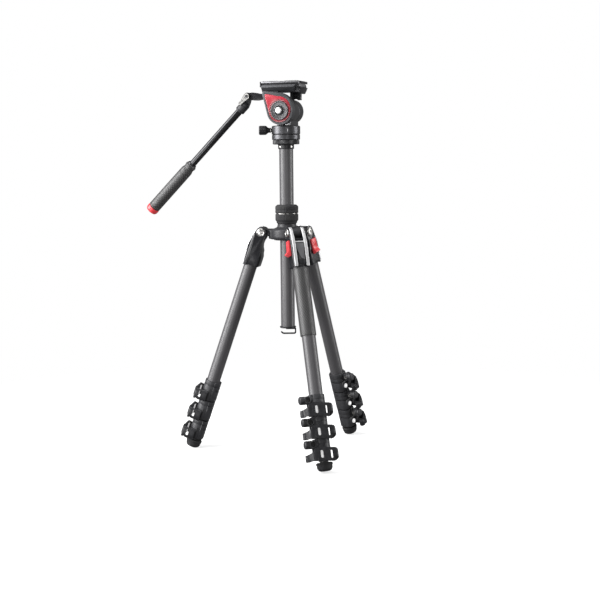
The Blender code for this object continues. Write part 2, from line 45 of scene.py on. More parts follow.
JOINTS = {joint["name"]: joint for joint in frame["joints"]}
HEAD = Vector(JOINTS["head_tilt"]["pos_m"])
AXIS = Matrix.Translation((HEAD.x, HEAD.y, 0)) @ Matrix.Scale(MM, 4)  # the column's, from z = 0
TILT = HEAD.z / MM
TILTED = ("Y", (0, 0, TILT))  # for what is turned about the tilt axis
TURN = math.radians(21.5)  # of the object from the camera's own axes
SIDES = ("left", "front", "right")
CORNER_REACH = 0.45  # the most of an edge that a corner's curve may take
SLOT_ROUND = 0.95  # a slot's corner radius, of half its width
BEVEL_ANGLE = math.radians(40)  # edges sharper than this are bevelled
WHITE = (1.0, 1.0, 1.0, 1.0)


# ---- outlines ------------------------------------------------------------------------
def arc(centre, radius, start, end, steps=12):
    """Points of an arc, from start to end in degrees."""
    turns = [math.radians(start + (end - start) * i / steps) for i in range(steps + 1)]
    return [(centre[0] + radius * math.cos(a), centre[1] + radius * math.sin(a)) for a in turns]


def rounded(points, radius, steps=4, closed=True):
    """The outline with each corner replaced by a small curve; a point may carry its own radius."""
    out = []
    count = len(points)
    for i, point in enumerate(points):
        here = Vector(point[:2])
        size = point[2] if len(point) > 2 else radius
        if not closed and i in (0, count - 1) or size == 0:
            out.append(tuple(here))
            continue
        before = Vector(points[i - 1][:2]) - here
        after = Vector(points[(i + 1) % count][:2]) - here
        reach = min(size, before.length * CORNER_REACH, after.length * CORNER_REACH)
        a, b = here + before.normalized() * reach, here + after.normalized() * reach
        for k in range(steps + 1):
            t = k / steps
            out.append(tuple(a * (1 - t) ** 2 + here * 2 * t * (1 - t) + b * t * t))
    return out


def rect(left, low, right, high):
    return [(left, low), (right, low), (right, high), (left, high)]


def slot_outline(width, height, a=0.0, b=0.0):
    """A rounded oblong about (a, b)."""
    w, h = width / 2, height / 2
    return rounded(rect(a - w, b - h, a + w, b + h), min(w, h) * SLOT_ROUND, 5)


# ---- solids --------------------------------------------------------------------------
def turned(profile, sides=64, axis="Z", centre=(0, 0, 0), ripple=None):
    """A solid turned from (radius, height) points; ripple(angle, radius, height) adds to a radius.

    Its UV runs round the surface and along the outline, in metres.
    """
    made = bmesh.new()
    uv = made.loops.layers.uv.new("UVMap")
    rings, along, widest = [], [0.0], max(r for r, _ in profile)
    for i, (radius, height) in enumerate(profile):
        if i:
            along.append(along[-1] + math.dist(profile[i - 1], profile[i]))
        if radius == 0:
            rings.append([made.verts.new((0, 0, height))])
            continue
        ring = []
        for k in range(sides):
            a = 2 * math.pi * k / sides
            r = radius + (ripple(a, radius, height) if ripple else 0.0)
            ring.append(made.verts.new((r * math.cos(a), r * math.sin(a), height)))
        rings.append(ring)
    along.append(along[-1] + math.dist(profile[-1], profile[0]))
    for i, low in enumerate(rings):
        high = rings[(i + 1) % len(rings)]
        for k in range(sides):
            j = (k + 1) % sides
            corners = [(low[k % len(low)], k, 0), (low[j % len(low)], k + 1, 0),
                       (high[j % len(high)], k + 1, 1), (high[k % len(high)], k, 1)]
            seen, kept = set(), []
            for corner in corners:
                if corner[0] not in seen:
                    seen.add(corner[0])
                    kept.append(corner)
            if len(kept) > 2:
                face = made.faces.new([c[0] for c in kept])
                for loop, (_, step, end) in zip(face.loops, kept):
                    around = 2 * math.pi * step / sides * widest
                    loop[uv].uv = (around * MM, along[i + end] * MM)
    spin = {"Z": Matrix(), "Y": Matrix.Rotation(-math.pi / 2, 4, "X"),
            "X": Matrix.Rotation(math.pi / 2, 4, "Y")}[axis]
    bmesh.ops.transform(made, matrix=Matrix.Translation(centre) @ spin, verts=made.verts)
    return made


def rod(radius, low, high, sides=48, axis="Z", centre=(0, 0, 0)):
    return turned(rect(0, low, radius, high), sides, axis, centre)


def pill(radius, low, high, edge, sides=48, axis="Z", centre=(0, 0, 0)):
    """A rod with rounded rims."""
    outline = [(0, low, 0), (radius, low), (radius, high), (0, high, 0)]
    return turned(rounded(outline, edge, 3), sides, axis, centre)


def prism(outline, low, high, plane="XY"):
    """An outline extruded from low to high across its plane."""
    made = bmesh.new()
    uv = made.loops.layers.uv.new("UVMap")
    place = {"XY": lambda a, b, h: (a, b, h), "XZ": lambda a, b, h: (a, h, b),
             "YZ": lambda a, b, h: (h, a, b)}[plane]
    base = [made.verts.new(place(a, b, low)) for a, b in outline]
    top = [made.verts.new(place(a, b, high)) for a, b in outline]
    for ring in (base, top):
        face = made.faces.new(ring)
        for loop, (a, b) in zip(face.loops, outline):
            loop[uv].uv = (a * MM, b * MM)
    run = 0.0
    for i, point in enumerate(outline):
        j = (i + 1) % len(outline)
        step = math.dist(point, outline[j])
        face = made.faces.new((base[i], base[j], top[j], top[i]))
        ends = ((run, low), (run + step, low), (run + step, high), (run, high))
        for loop, (a, b) in zip(face.loops, ends):
            loop[uv].uv = (a * MM, b * MM)
        run += step
    return made


def block(low, high):
    return prism(rect(low[0], low[1], high[0], high[1]), low[2], high[2])


def moved(made, matrix):
    bmesh.ops.transform(made, matrix=matrix, verts=made.verts)
    return made


def loose(made, name="shape"):
    """A bmesh as an object with outward faces."""
    bmesh.ops.recalc_face_normals(made, faces=made.faces)
    mesh = bpy.data.meshes.new(name)
    made.to_mesh(mesh)
    made.free()
    item = bpy.data.objects.new(name, mesh)
    bpy.context.scene.collection.objects.link(item)
    return item


def settle(item):
    """Applies an object's modifiers to its mesh."""
    bpy.context.view_layer.update()
    graph = bpy.context.evaluated_depsgraph_get()
    mesh = bpy.data.meshes.new_from_object(item.evaluated_get(graph))
    item.modifiers.clear()
    old = item.data
    item.data = mesh
    bpy.data.meshes.remove(old)


def piece(name, made, finish, body, place=AXIS, within=(), cut=(), join=(), bevel=0.0, steps=2,
          sharp=40, node=None):
    """One visible piece: a shape kept within, joined with and cut by others, then bevelled."""
    item = loose(made, name)
    helpers = []
    for operation, shapes in (("INTERSECT", within), ("UNION", join), ("DIFFERENCE", cut)):
        for shape in shapes:
            helper = loose(shape, name + "_tool")
            helpers.append(helper)
            step = item.modifiers.new(operation.title(), "BOOLEAN")
            step.operation = operation
            step.object = helper
            step.solver = "EXACT"
    if bevel:
        edge = item.modifiers.new("Edges", "BEVEL")
        edge.width = bevel
        edge.segments = steps
        edge.limit_method = "ANGLE"
        edge.angle_limit = BEVEL_ANGLE
        edge.use_clamp_overlap = True
        edge.miter_outer = "MITER_ARC"
    if item.modifiers:
        settle(item)
    for helper in helpers:
        mesh = helper.data
        bpy.data.objects.remove(helper)
        bpy.data.meshes.remove(mesh)
    item.data.name = name
    item.data.transform(place)
    item.data.materials.clear()
    item.data.materials.append(FINISHES[finish])
    item.data.shade_smooth()
    item.data.set_sharp_from_angle(angle=math.radians(sharp))
    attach(item, body)
    if node:
        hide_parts(node)
    return item


# ---- finishes ------------------------------------------------------------------------
RUBBED = (0.51, 0.58)  # the Pointiness where an edge begins to be rubbed, and where it is fully
TWILL = 1 / 0.0032  # repeats of the carbon weave in a metre
LATTICE = 1 / 0.0023  # diamonds of the leather in a metre
DIAGONAL = math.radians(45)


class Nodes:
    """A material under construction: short names for the few node kinds used below."""

    def __init__(self, name, colour, roughness, metallic=0.0, coat=0.0, coat_roughness=0.1,
                 specular=0.5):
        self.material = bpy.data.materials.new(name)
        self.material.use_nodes = True
        self.tree = self.material.node_tree
        self.shader = self.tree.nodes["Principled BSDF"]
        values = {"Base Color": (*colour, 1.0), "Roughness": roughness, "Metallic": metallic,
                  "Coat Weight": coat, "Coat Roughness": coat_roughness,
                  "Specular IOR Level": specular}
        for socket, value in values.items():
            self.shader.inputs[socket].default_value = value
        self.material.diffuse_color = (*colour, 1.0)
        self.normal = None

    def node(self, kind, **values):
        made = self.tree.nodes.new(kind)
        for key, value in values.items():
            if key in made.inputs:
                made.inputs[key].default_value = value
            else:
                setattr(made, key, value)
        return made

    def link(self, source, target):
        self.tree.links.new(source, target)

    def space(self, kind="Object", scale=(1, 1, 1), turn=(0, 0, 0)):
        coordinates = self.node("ShaderNodeTexCoord")
        mapping = self.node("ShaderNodeMapping")
        mapping.inputs["Scale"].default_value = scale
        mapping.inputs["Rotation"].default_value = turn
        self.link(coordinates.outputs[kind], mapping.inputs["Vector"])
        return mapping.outputs["Vector"]

    def noise(self, scale, detail=4.0, roughness=0.6, vector=None):
        made = self.node("ShaderNodeTexNoise", Scale=scale, Detail=detail, Roughness=roughness)
        self.link(vector or self.space(), made.inputs["Vector"])
        return made.outputs["Fac"]

    def wave(self, vector, scale, direction="X"):
        made = self.node("ShaderNodeTexWave", Scale=scale)
        made.bands_direction = direction
        self.link(vector, made.inputs["Vector"])
        return made.outputs["Fac"]

    def voronoi(self, vector, scale):
        made = self.node("ShaderNodeTexVoronoi", Scale=scale, feature="DISTANCE_TO_EDGE")
        self.link(vector, made.inputs["Vector"])
        return made.outputs["Distance"]

    def math(self, operation, a, b=None):
        made = self.node("ShaderNodeMath")
        made.operation = operation
        for socket, value in zip(made.inputs, (a, b)):
            if value is None:
                continue
            if isinstance(value, (int, float)):
                socket.default_value = value
            else:
                self.link(value, socket)
        return made.outputs["Value"]

    def remap(self, value, low, high, start=0.0, end=1.0):
        made = self.node("ShaderNodeMapRange")
        for socket, number in zip(("From Min", "From Max", "To Min", "To Max"),
                                  (start, end, low, high)):
            made.inputs[socket].default_value = number
        self.link(value, made.inputs["Value"])
        return made.outputs["Result"]

    def blend(self, factor, dark, light):
        made = self.node("ShaderNodeMix")
        made.data_type = "RGBA"
        made.inputs["A"].default_value = (*dark, 1.0)
        made.inputs["B"].default_value = (*light, 1.0)
        self.link(factor, made.inputs["Factor"])
        return made.outputs["Result"]

    def colour(self, source):
        self.link(source, self.shader.inputs["Base Color"])

    def rough(self, source):
        self.link(source, self.shader.inputs["Roughness"])

    def bump(self, height, distance, strength=1.0):
        """Adds a bump; later ones build on the earlier ones."""
        made = self.node("ShaderNodeBump", Strength=strength, Distance=distance)
        self.link(height, made.inputs["Height"])
        if self.normal:
            self.link(self.normal, made.inputs["Normal"])
        self.normal = made.outputs["Normal"]
        self.link(self.normal, self.shader.inputs["Normal"])

    def worn(self, base, light, amount):
        """Lightens edges, where Pointiness is high, broken up by noise."""
        geometry = self.node("ShaderNodeNewGeometry")
        edge = self.remap(geometry.outputs["Pointiness"], 0.0, 1.0, *RUBBED)
        patches = self.remap(self.noise(180.0, 3.0), 0.2, 1.0, 0.35, 0.65)
        factor = self.math("MULTIPLY", self.math("MULTIPLY", edge, patches), amount)
        self.colour(self.blend(factor, base, light))


def carbon_finish():
    """2/2 twill: bundles of fibre 1.6 mm wide, shifted by one from row to row, under lacquer."""
    made = Nodes("carbon_weave", (0.065, 0.063, 0.067), 0.42, 0.0, coat=0.30, coat_roughness=0.36)
    uv = made.space("UV", (TWILL, TWILL, 1.0))
    diagonal = made.space("UV", (TWILL, TWILL, 1.0), (0, 0, DIAGONAL))
    twill = made.wave(diagonal, 0.22, "X")
    rows = made.wave(uv, 0.32, "Y")
    columns = made.wave(uv, 0.32, "X")
    over = made.math("GREATER_THAN", twill, 0.5)
    under = made.math("SUBTRACT", 1.0, over)
    bundles = made.math("ADD", made.math("MULTIPLY", rows, over),
                        made.math("MULTIPLY", columns, under))
    tone = made.remap(made.math("ADD", made.math("MULTIPLY", over, 0.5),
                                made.math("MULTIPLY", bundles, 0.5)), 0.0, 1.0)
    made.colour(made.blend(tone, (0.058, 0.056, 0.060), (0.078, 0.075, 0.080)))
    made.rough(made.remap(tone, 0.46, 0.38))
    made.bump(bundles, 0.00002, 0.4)
    return made.material


def moulded_finish(name="moulded_black", base=(0.014, 0.014, 0.016), roughness=0.34):
    """Fine-grained nylon with slightly polished edges."""
    made = Nodes(name, base, roughness, specular=0.36)
    made.worn(base, tuple(c * 2.2 + 0.02 for c in base), 0.4)
    made.rough(made.remap(made.noise(260.0), roughness - 0.06, roughness + 0.08))
    made.bump(made.voronoi(made.space(), 2100.0), 0.00003, 0.3)
    made.bump(made.noise(70.0, 2.0), 0.00006, 0.2)
    return made.material


def alloy_finish(name="satin_alloy", base=(0.050, 0.051, 0.055), roughness=0.42, metallic=0.5):
    """Blasted and anodised casting: fine grit, cloudy tone, bright where its edges have rubbed."""
    made = Nodes(name, base, roughness, metallic)
    made.worn(base, tuple(c * 2.0 + 0.06 for c in base), 0.35)
    made.rough(made.remap(made.noise(150.0), roughness - 0.06, roughness + 0.09))
    made.bump(made.noise(2600.0, 2.0), 0.00002, 0.3)
    return made.material


def steel_finish(name="bright_steel", base=(0.66, 0.65, 0.63), roughness=0.24):
    """Turned and plated steel with fine tool marks."""
    made = Nodes(name, base, roughness, 1.0)
    scratches = made.noise(700.0, 5.0, 0.7, made.space("Object", (1.0, 1.0, 8.0)))
    made.colour(made.blend(made.remap(scratches, 0.0, 1.0, 0.3, 0.7),
                           tuple(c * 0.82 for c in base), base))
    made.rough(made.remap(scratches, roughness - 0.05, roughness + 0.08, 0.3, 0.7))
    made.bump(scratches, 0.000008, 0.3)
    return made.material


def satin_finish(name, base, roughness, metallic):
    """Fine-turned metal: even, with faint marks around it and a slightly cloudy sheen."""
    made = Nodes(name, base, roughness, metallic)
    cloud = made.noise(120.0, 3.0)
    made.colour(made.blend(made.remap(cloud, 0.0, 1.0, 0.35, 0.65), tuple(c * 0.92 for c in base),
                           base))
    made.rough(made.remap(cloud, roughness - 0.02, roughness + 0.04))
    made.bump(made.noise(900.0, 2.0, 0.5, made.space("Object", (1.0, 1.0, 6.0))), 0.000004, 0.2)
    return made.material


def red_finish(name="coral_red", base=(0.80, 0.050, 0.062), roughness=0.34, coat=0.15):
    """Glossy coloured moulding with a soft flow texture and paler rubbed edges."""
    made = Nodes(name, base, roughness, coat=coat, coat_roughness=0.15)
    made.worn(base, tuple(0.6 * c + 0.25 for c in base), 0.4)
    made.rough(made.remap(made.noise(220.0), roughness - 0.07, roughness + 0.10))
    made.bump(made.noise(900.0, 3.0), 0.00001, 0.2)
    return made.material


def rubber_finish():
    """Matt moulded rubber, a little dusty, with a fine pebble."""
    made = Nodes("pebbled_rubber", (0.026, 0.026, 0.028), 0.72, specular=0.35)
    dust = made.remap(made.noise(45.0, 5.0), 0.0, 1.0, 0.4, 0.75)
    made.colour(made.blend(dust, (0.020, 0.020, 0.022), (0.042, 0.041, 0.041)))
    made.rough(made.remap(made.noise(300.0), 0.62, 0.86))
    made.bump(made.voronoi(made.space(), 1300.0), 0.00010, 0.5)
    return made.material


def leather_finish():
    """Embossed grip leather: a diamond lattice 2.3 mm across over natural grain."""
    made = Nodes("embossed_leather", (0.060, 0.058, 0.060), 0.46, specular=0.7)
    cell = (LATTICE, LATTICE * 0.75, 1)
    left, right = (made.wave(made.space("UV", cell, (0, 0, turn)), 0.22)
                   for turn in (DIAGONAL, -DIAGONAL))
    lattice = made.math("MULTIPLY", made.math("SQRT", left), made.math("SQRT", right))
    grain = made.voronoi(made.space(), 1100.0)
    mix = made.math("ADD", made.math("MULTIPLY", lattice, 0.8), made.math("MULTIPLY", grain, 0.5))
    made.colour(made.blend(made.remap(mix, 0.0, 1.0, 0.1, 0.9), (0.010, 0.010, 0.010),
                           (0.075, 0.073, 0.074)))
    made.rough(made.remap(mix, 0.55, 0.32, 0.1, 0.9))
    made.bump(mix, 0.00030, 0.9)
    return made.material


def cord_finish():
    """Waxed stitching thread."""
    made = Nodes("waxed_thread", (0.10, 0.10, 0.10), 0.65)
    twist = made.wave(made.space("Object"), 700.0, "DIAGONAL")
    made.colour(made.blend(twist, (0.06, 0.06, 0.06), (0.15, 0.15, 0.15)))
    made.bump(twist, 0.00005, 0.6)
    return made.material


def vial_finish():
    """Pale green spirit vial."""
    made = Nodes("spirit_vial", (0.55, 0.66, 0.25), 0.12, coat=0.6, coat_roughness=0.05)
    made.colour(made.blend(made.noise(240.0, 2.0), (0.50, 0.62, 0.20), (0.66, 0.74, 0.36)))
    return made.material


def glowing_white_finish():
    """White enamel that glows a little, which is painted light: it stays bright even in the shade
    of its window.
    """
    made = Nodes("glowing_white_enamel", (0.90, 0.90, 0.89), 0.28, coat=0.4)
    made.rough(made.remap(made.noise(300.0), 0.22, 0.38))
    # Painted light: the emission below makes the enamel glow though no lamp lights it.
    made.shader.inputs["Emission Color"].default_value = WHITE
    made.shader.inputs["Emission Strength"].default_value = 0.45
    return made.material


FINISHES = {
    "carbon": carbon_finish(),
    "moulded": moulded_finish(),
    "moulded_grey": moulded_finish("moulded_grey", (0.030, 0.030, 0.033), 0.42),
    "alloy": alloy_finish(),
    "alloy_pan": satin_finish("turned_alloy", (0.090, 0.090, 0.096), 0.36, 0.85),
    "alloy_light": satin_finish("light_alloy", (0.24, 0.24, 0.25), 0.36, 0.7),
    "graphite": satin_finish("graphite_dial", (0.100, 0.100, 0.104), 0.36, 0.5),
    "bright": glowing_white_finish(),
    "gloss_black": moulded_finish("gloss_black", (0.010, 0.010, 0.012), 0.24),
    "steel": steel_finish(),
    "dark_steel": steel_finish("dark_steel", (0.10, 0.10, 0.105), 0.30),
    "trim": satin_finish("satin_trim", (0.80, 0.80, 0.81), 0.36, 0.6),
    "red": red_finish(),
    "crimson": red_finish("crimson_gloss", (0.42, 0.010, 0.028), 0.26, 0.7),
    "crimson_deep": red_finish("crimson_deep", (0.16, 0.002, 0.010), 0.24, 0.4),
    "rubber": rubber_finish(),
    "leather": leather_finish(),
    "thread": cord_finish(),
    "vial": vial_finish(),
    "gloss_tube": satin_finish("black_chrome", (0.030, 0.030, 0.032), 0.14, 0.6),
}


# ---- legs ----------------------------------------------------------------------------
HINGE_R, HINGE_Z = 50.5, 447.0  # the leg hinges, from the column's axis and above the ground
SPREAD = math.radians(18.93)  # of a leg from the vertical
OFFSET = 2.2  # tube axis outside the hinge
TUBES = (13.5, 11.75, 10.0, 8.25)  # radii of a leg's sections
TUBE_WALL = 1.3
TUBE_TOPS = (-36, -60, -75, -90)
FIT = 0.3  # between a tube and what it slides in
LOCK_TOPS = (324.0, 366.5, 409.0)  # down the leg from its hinge
LOCK_RADII = (15.9, 15.7, 15.2)
LOCK_BACKS = (17.0, 16.6, 16.0)  # from the tube's axis to the flat behind
LUG_DROP = 9.7  # from a lock's top to its clamp screw
PIVOT = (6.0, -33.0)  # of a lever, from the tube's axis
CROWN_HALF = 17.0


def leg_frame(side):
    """x outward, y along the hinge, z up the leg; its origin is on the hinge."""
    y = -Vector(JOINTS[f"{side}_leg_hinge"]["axis"])
    z = -Vector(JOINTS[f"{side}_slide_1"]["axis"])
    place = Matrix((y.cross(z), y, z)).transposed().to_4x4() @ Matrix.Scale(MM, 4)
    place.translation = JOINTS[f"{side}_leg_hinge"]["pos_m"]
    return place


def softened(made, width, steps=3, angle=40):
    """Rounds a shape's sharp edges."""
    bmesh.ops.recalc_face_normals(made, faces=made.faces)
    limit = math.radians(angle)
    edges = [e for e in made.edges if len(e.link_faces) == 2 and e.calc_face_angle() > limit]
    bmesh.ops.bevel(made, geom=edges, offset=width, segments=steps, profile=0.5,
                    affect="EDGES", clamp_overlap=True)
    return made


def crown_side(grow=0.0):
    """The crown's outline from the side, from the inner foot up over the knuckle to the front."""
    front = 17.2 + grow
    return (arc((0, 0), 10.5 + grow, 200, 12, 26)
            + [(12.6 + grow, -6.0), (14.9 + grow, -14.0), (16.5 + grow, -22.0),
               (front, -32.0), (front, -72.0), (9.0, -72.0), (8.0, -69.4), (-15.6, -69.4),
               (-15.9, -58.0), (-15.5, -47.0), (-13.2, -41.5), (-12.7, -36.0), (-9.4, -30.0),
               (-7.6, -23.0), (-8.2, -15.0), (-10.2, -9.0)])


def crown(side, place, body):
    """The fork over a leg's top, with its bright ribs, pocket panel, boss and nameplate."""
    pocket = rounded(rect(-8.8, -14.5, 8.8, -70.6), 1.5)
    plan = rounded([(-16.4, -17.0, 6.0), (17.2, -17.0, 9.0), (17.2, 17.0, 9.0),
                    (-16.4, 17.0, 6.0)], 6.0, 10)
    piece(f"{side}_crown_casting",
          prism(rounded(crown_side(), 1.6, 2), -CROWN_HALF, CROWN_HALF, "XZ"),
          "gloss_black", body, place, node=f"{side}_crown", sharp=35,
          within=[prism(plan, -80, 20)],
          cut=[prism([(-40, -14), (-40, 40), (40, 41), (40, -14)], -8.8, 8.8, "XZ"),
               prism(pocket, 15.4, 30, "YZ"),
               rod(13.8, -90, -35.7, 63, centre=(OFFSET, 0, 0)),
               rod(4.3, -30, 30, 47, "Y"),
               rod(9.2, -20, -16.4, 49, "Y"), rod(9.2, 16.4, 20, 49, "Y")],
          bevel=0.6)
    # The panel's left edge curves in and leaves the dark casting bare where the left arm's shadow
    # falls, which is a painted shadow. The panel's grey is its own colour.
    panel = [(-8.3, -24.6), (8.3, -24.6), (8.0, -44), (7.2, -57.5), (3.0, -57.5), (-0.8, -52),
             (-4.6, -43), (-7.2, -33)]
    piece(f"{side}_crown_panel", prism(rounded(panel, 1.2), 14.9, 16.8, "YZ"), "alloy_light",
          body, place, bevel=0.4)
    piece(f"{side}_crown_boss", pill(6.7, 14.9, 17.4, 0.9, 48, "X", (0, 1.0, -62.2)),
          "moulded", body, place, join=[pill(4.8, 15.1, 17.8, 0.5, 46, "X", (0, 1.0, -62.2))],
          bevel=0.2)
    piece(f"{side}_crown_nameplate",
          prism(rounded(rect(-8.3, -20.4, 8.3, -23.0), 0.7), 14.9, 17.0, "YZ"), "trim", body,
          place, bevel=0.3)
    run = [p for p in crown_side(-0.4) if p[0] > 3.0 and p[1] > -33]
    outer = [p for p in crown_side(1.3) if p[0] > 3.5 and p[1] > -33]
    band = outer + [(18.5, -71.2), (14.5, -71.2)] + run[::-1]
    for name, low, high in (("left", -15.2, -9.1), ("right", 9.1, 15.2)):
        piece(f"{side}_crown_rib_{name}",
              softened(prism(band, low, high, "XZ"), 1.5, 4, 60), "trim", body, place, sharp=50)
    recess = [(0, 16.5), (9.0, 16.5), (9.0, 17.1), (7.9, 17.1), (7.9, 16.9), (0, 16.9)]
    for name, sign in (("left", -1), ("right", 1)):
        piece(f"{side}_hinge_washer_{name}",
              turned([(r, sign * h) for r, h in recess], 48, "Y"), "dark_steel", body, place,
              bevel=0.15)


def hinge_bolt(side, place, body):
    seat, head = 17.3, 19.3
    end = [(0, head - 0.1), (4.3, head - 0.1), (4.8, head - 0.4), (4.9, head - 1.0),
           (5.8, head - 1.0), (6.0, head - 0.3), (6.6, head), (7.2, head - 0.2), (8, head - 1.1),
           (8, seat), (4, seat)]
    profile = [(r, -h) for r, h in end] + end[::-1]
    hexagons = [rod(2.6, a, b, 6, "Y") for a, b in ((-21, -17.4), (17.4, 21))]
    piece(f"{side}_hinge_pin", turned(profile, 64, "Y"), "steel", body, place,
          node=f"{side}_hinge_bolt", cut=hexagons, sharp=35)


def angle_lock(side, place, body):
    """The spring tab that sets a leg's spread: a plate, and a lip turned outwards."""
    outline = [(-17.3, -17.0, 0.8), (-17.3, -47.6, 1.5), (-19.6, -48.6, 1.2), (-26.6, -44.6, 0.6),
               (-26.5, -42.9, 0.6), (-21.4, -37.4, 2.5), (-20.9, -17.0, 0.8)]
    ridge = [(-22.4, -47.4), (-24.8, -46.0), (-25.4, -47.0), (-23.0, -48.6)]
    bump = [(-20.0, -21.5), (-21.8, -23.5), (-21.9, -27.5), (-20.0, -30.0)]
    piece(f"{side}_angle_tab", prism(rounded(outline, 1), -4.3, 8.7, "YZ"), "red", body, place,
          node=f"{side}_angle_lock", bevel=0.8, steps=3,
          join=[prism(rounded(bump, 0.6), -1.4, 5.8, "YZ")],
          cut=[prism(rounded(ridge, 0.2), a, a + 1.2, "YZ") for a in (-1.6, 1.6, 4.8)])


def carbon_tube(name, outer, low, high, place, body, node):
    inner = outer - TUBE_WALL
    profile = [(outer, low), (outer, high), (outer - 0.3, high), (inner, high), (inner, low)]
    piece(name, turned(profile, 72), "carbon", body, place, node=node, sharp=30)


def body_outline(radius, back):
    """A lock's section: round outside, with flats behind and on the side of its cross bolts."""
    return (arc((0, 0), radius, -48, 118, 28)
            + rounded([(-8.4, 14.4), (-back, 9.5, 4), (-back, -9.0, 4), (-11.8, -16.4, 3),
                       (9.6, -16.4, 2.5), (11.2, -12.4)], 3, 4, closed=False))


def lock(side, number, place, body, node):
    """A flip lock: a clamp band above and below a slit, its lug, ear, pin, bolts and slots."""
    top = LOCK_TOPS[number]
    bore, seat = TUBES[number + 1] + FIT, TUBES[number] + FIT
    radius = LOCK_RADII[number]
    low, base = -top - 14.7, -top - 41.9
    lug = ("Y", (4.0, 0, -top - LUG_DROP))
    screw = ("X", (0, -22.0, -top - LUG_DROP))
    bolt = ("Y", (0, 0, -top - 30.5))
    grub = ("Y", (-1.0, 0, -top - 11.4))

    def add(name, made, finish, **options):
        piece(f"{side}_{name.format(number + 1)}", made, finish, body, place, **options)

    barrel = rounded([(0, -11.0, 0), (7.9, -11.0, 0), (7.9, -37.2), (0, -37.2, 0)], 7.9 - 2.4, 8)
    add("lock_lug_{}", turned(barrel, 72, *lug), "moulded_grey", bevel=0.3, sharp=35,
        join=[rod(7.0, -2.6, 12.2, 53, *screw)],
        cut=[turned(rect(6.9, y - 0.5, 9.5, y + 0.5), 70, *lug) for y in (-31.9, -29.2)]
        + [rod(5.2, 9.9, 14, 39, *screw), rod(5.2, -6, -2.0, 37, *screw)])
    for k, y in enumerate((-30.6, -27.8)):
        add(f"lug_hoop_{{}}_{k + 1}", turned(rect(7.4, y - 0.35, 8.15, y + 0.35), 72, *lug),
            "graphite", bevel=0.15)
    add("lug_rim_{}", turned(rect(5.3, 12.0, 6.2, 12.5), 48, *screw), "graphite", bevel=0.12)
    slit = [(-40, 11.5), (-13.2, 11.5), (-13.2, -12.6), (5.0, -12.6), (5.0, -40), (-40, -40)]
    ear = rounded([(0.4, -12.0), (11.2, -12.0), (11.2, -38.0), (0.4, -38.0)], 5.0, 6)
    add("lock_body_{}", prism(body_outline(radius, LOCK_BACKS[number]), base + 2.4, -top),
        "moulded_grey", node=node, bevel=0.45, sharp=35,
        join=[prism(ear, -top - 31.1, -top - 29.2),
              rod(1.9, -top - 41.0, -top - 29.4, 24, centre=(*PIVOT, 0)),
              turned(rect(bore + 0.2, base, bore + 1.9, base + 3.0), 62)],
        cut=[prism(slit, -top - 19.0, -top - 16.9),
             turned(rect(radius - 0.9, -top - 9.4, 60, -top - 8.7), 59),
             rod(seat, low, 5 - top, 64), rod(bore, base - 5, low + 1, 58),
             rod(6.6, -30, -14.6, 41, *bolt), rod(3.4, -30, -15.2, 33, *grub)])
    add("lock_strut_{}", block((6.9, -24.0, -top - 39.5), (10.8, -15.8, -top - 17.8)),
        "moulded", bevel=0.4)
    # A black strip on the lock body along the lever's edge: painted shade for the deep gap between
    # them, not a seal.
    add("lock_gap_shade_{}", block((-2.6, 13.0, -top - 41.0), (-0.3, radius + 0.9, -top - 15.6)),
        "rubber", bevel=0.3, cut=[rod(14.6, -top - 50, -top, 61)])
    add("lock_well_{}", turned(rect(5.2, -14.65, 6.5, -16.1), 48, *bolt), "rubber")
    head = [(0, -14.7, 0), (4.6, -14.7), (4.6, -17.5), (3.4, -18.0), (0, -18.0, 0)]
    # The bolt head glows white through its finish: a painted highlight.
    add("lock_bolt_{}", turned(rounded(head, 0.5), 40, *bolt), "bright",
        cut=[rod(1.7, -20, -16.6, 6, *bolt)])
    head = [(0, -15.3), (2.6, -15.3), (2.6, -16.0), (1.9, -16.5), (0, -16.6)]
    add("lock_screw_{}", turned(head, 32, *grub), "trim", cut=[rod(1.2, -20, -15.9, 6, *grub)])
    head = [(0, 9.95), (4.6, 9.95), (4.6, 10.6), (4.0, 11.0), (0, 11.0)]
    add("lug_screw_{}", turned(head, 40, *screw), "rubber", cut=[rod(2.4, 10.1, 12, 6, *screw)])
    add("lug_nut_{}", rod(4.4, -2.05, -3.1, 6, *screw), "steel", bevel=0.25,
        cut=[rod(2.2, -5, -2.6, 31, *screw)])


def lever_corner(z, way):
    """What rounds a lever's outer corner at height z; way is 1 above and -1 below."""
    curve = [(y, z + way * (rise - 10.0)) for y, rise in arc((12.6, 0.0), 10.0, 90, 0, 9)]
    return prism([(12.6, z + way * 3)] + curve + [(34, z - way * 10.0), (34, z + way * 3)], -10, 60,
                 "YZ")


